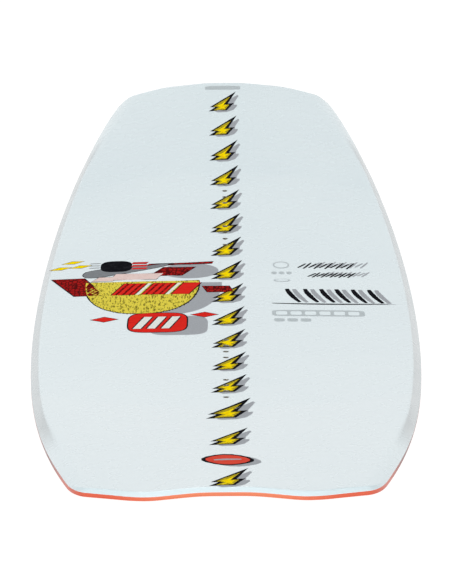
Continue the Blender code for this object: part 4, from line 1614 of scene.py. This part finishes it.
@dataclass
class Strokes:
    """Rows of slanted brush strokes, pale bars and small rings on the right."""

    shadow_shift: tuple[float, float] = (8.5, -1.0)
    thin_shift: tuple[float, float] = (17.0, 4.0)

    def bold(self) -> list[Points]:
        """The thick strokes of the lower row, all with the same slant, over one long stroke."""
        strokes = [brush((x, 13), (x + 3, -10), (x + 14, -36), 7.0, 0.45, 11 + k)
                   for k, x in enumerate((72, 93, 112, 130, 149, 168))]
        return strokes + [brush((54, -40), (110, -46), (188, -38), 4.0, 0.2, 20)]

    def thin(self) -> list[Points]:
        """The thin strokes of the upper rows, all with the same slant."""
        strokes = []
        for left, right, middle, height in ((92, 150, 100, 22), (103, 150, 66, 18)):
            for k, x in enumerate(np.linspace(left, right, 10)):
                reach = height / 2 * (0.7 + 0.3 * (k % 2))
                low, high = (x - 5, middle - reach), (x + 5, middle + reach)
                strokes.append(brush(low, (x, middle), high, 3.0, 0.5, 30 + k))
        return strokes

    def build(self) -> None:
        """Builds strokes, shadows, bars and marks."""
        bold, thin = self.bold(), self.thin()
        bold_shadows = [stroke + self.shadow_shift for stroke in bold]
        thin_shadows = [stroke + self.thin_shift for stroke in thin]
        Print("bold_shadows", SHADE, Level.SHADOW, bold_shadows).build()
        Print("bold_strokes", CHARCOAL, Level.FILL, bold, FINE).build()
        Print("thin_shadows", SHADE, Level.SHADOW, thin_shadows, FINE).build()
        Print("thin_strokes", CHARCOAL, Level.FILL, thin, FINE).build()
        bar = oval(106, -77, 53, 11.5, 7.0, 72)
        windows = [oval(64 + 16.5 * k, -77, 6.4, 6.5, 5.0) for k in range(6)]
        dashes = [oval(61 + 15 * k, -103, 6.0, 6.0, 4.0) for k in range(3)]
        rings = [oval(67, 102, 10, 13), oval(67, 45, 10, 6)]
        dots = [oval(58 + 9 * k, 73, 3.4, 5.0) for k in range(3)]
        tip = [oval(-2, 738, 25, 7, 5.0)]
        Print("pale_bars", FAINT, Level.KEYLINE, [bar, *dashes, *rings, *dots, *tip]).build()
        holes = [oval(67, 102, 8, 9.5), oval(67, 46, 7.5, 3.6), *windows]
        Print("bar_windows", MIST_AND_SHEEN, Level.FILL, holes, FINE).build()


# ---------------------------------------------------------------------------
# Studio
# ---------------------------------------------------------------------------


@dataclass
class Studio:
    """White floor, soft light and the camera."""

    camera_distance: float = 3.26425
    camera_elevation: float = 0.31779
    board_yaw: float = 0.00216
    board_roll: float = 0.00618
    lens: float = 172.29
    sensor: float = 36.0
    shift: tuple[float, float] = (0.00094, 0.00058)
    floor_size: float = 30.0
    floor_level: float = -0.0004
    sky: float = 0.42
    backdrop: float = 1.0
    backdrop_edges: tuple[float, float] = (0.55, 0.92)
    key_power: float = 86.0
    key_size: float = 2.6
    key_distance: float = 4.5
    key_elevation: float = 1.45
    key_side: float = -0.6
    fill_power: float = 54.0
    fill_size: float = 1.6
    fill_place: tuple[float, float, float] = (0.0, -3.4, 0.45)

    def build_floor(self) -> None:
        """A wide white floor."""
        mesh = bpy.data.meshes.new("floor")
        half = self.floor_size
        corners = [(-half, -half), (half, -half), (half, half), (-half, half)]
        mesh.from_pydata([(x, y, self.floor_level) for x, y in corners], [], [(0, 1, 2, 3)])
        graph = Graph("floor_paper")
        grain = graph.noise(graph.place(), 30.0, 3.0)
        graph.set(Base_Color=graph.blend(grain, (0.10, 0.10, 0.10), (0.12, 0.12, 0.12)))
        graph.set(Roughness=0.9, Specular_IOR_Level=0.0)
        graph.set(Emission_Color=(1.0, 1.0, 1.0), Emission_Strength=0.99)
        mesh.materials.append(graph.material)
        floor = bpy.data.objects.new("floor", mesh)
        bpy.context.scene.collection.objects.link(floor)

    def build_light(self) -> None:
        """A grey surround that whitens beyond the board, a soft light above and a weak one in front."""
        world = bpy.data.worlds.new("surround")
        world.use_nodes = True
        tree = world.node_tree
        background = tree.nodes["Background"]
        source, split = tree.nodes.new("ShaderNodeTexCoord"), tree.nodes.new("ShaderNodeSeparateXYZ")
        share = tree.nodes.new("ShaderNodeMapRange")
        share.interpolation_type = "SMOOTHSTEP"
        start, end = self.backdrop_edges
        ranges = {"From Min": start, "From Max": end, "To Min": self.sky, "To Max": self.backdrop}
        for key, value in ranges.items():
            share.inputs[key].default_value = value
        tree.links.new(source.outputs["Generated"], split.inputs[0])
        tree.links.new(split.outputs["Y"], share.inputs["Value"])
        tree.links.new(share.outputs[0], background.inputs["Strength"])
        background.inputs["Color"].default_value = (1.0, 1.0, 1.0, 1.0)
        bpy.context.scene.world = world
        level, height = math.cos(self.key_elevation), math.sin(self.key_elevation)
        key_place = (self.key_side, self.key_distance * level, self.key_distance * height)
        self.add_light("key", self.key_power, self.key_size, key_place)
        self.add_light("fill", self.fill_power, self.fill_size, self.fill_place)

    @staticmethod
    def add_light(name: str, power: float, size: float, place: Sequence[float]) -> None:
        """Adds a round area light that faces the board's middle."""
        data = bpy.data.lights.new(name, "AREA")
        data.shape = "DISK"
        data.size = size
        data.energy = power
        light = bpy.data.objects.new(name, data)
        light.location = place
        light.rotation_mode = "QUATERNION"
        light.rotation_quaternion = light.location.to_track_quat("Z", "Y")
        bpy.context.scene.collection.objects.link(light)

    def build_camera(self) -> None:
        """The camera looks along the board from behind its rear end."""
        data = bpy.data.cameras.new("camera")
        data.lens = self.lens
        data.sensor_width = self.sensor
        data.shift_x, data.shift_y = self.shift
        data.clip_start, data.clip_end = 0.1, 100.0
        camera = bpy.data.objects.new("camera", data)
        back = Matrix.Translation((0.0, 0.0, self.camera_distance))
        tilt = Matrix.Rotation(math.pi / 2 - self.camera_elevation, 4, "X")
        board = Matrix.Rotation(-self.board_roll, 4, "Y") @ Matrix.Rotation(self.board_yaw, 4, "Z")
        aim = Matrix.Translation((0.0, 0.0, SHAPE.thickness))
        camera.matrix_world = aim @ board.inverted() @ tilt @ back
        bpy.context.scene.collection.objects.link(camera)
        bpy.context.scene.camera = camera

    def build(self) -> None:
        """Builds the studio."""
        bpy.context.scene.view_settings.view_transform = "Standard"
        self.build_floor()
        self.build_light()
        self.build_camera()


def main() -> None:
    """Builds the board's looks in order."""
    logging.basicConfig(level=logging.INFO, format="%(name)s %(message)s")
    Studio().build()
    Board().build()
    Inside().build()
    Inserts().build()
    Fins().build()
    BoltColumn().build()
    Emblem().build()
    Strokes().build()


if __name__ == "__main__":
    main()
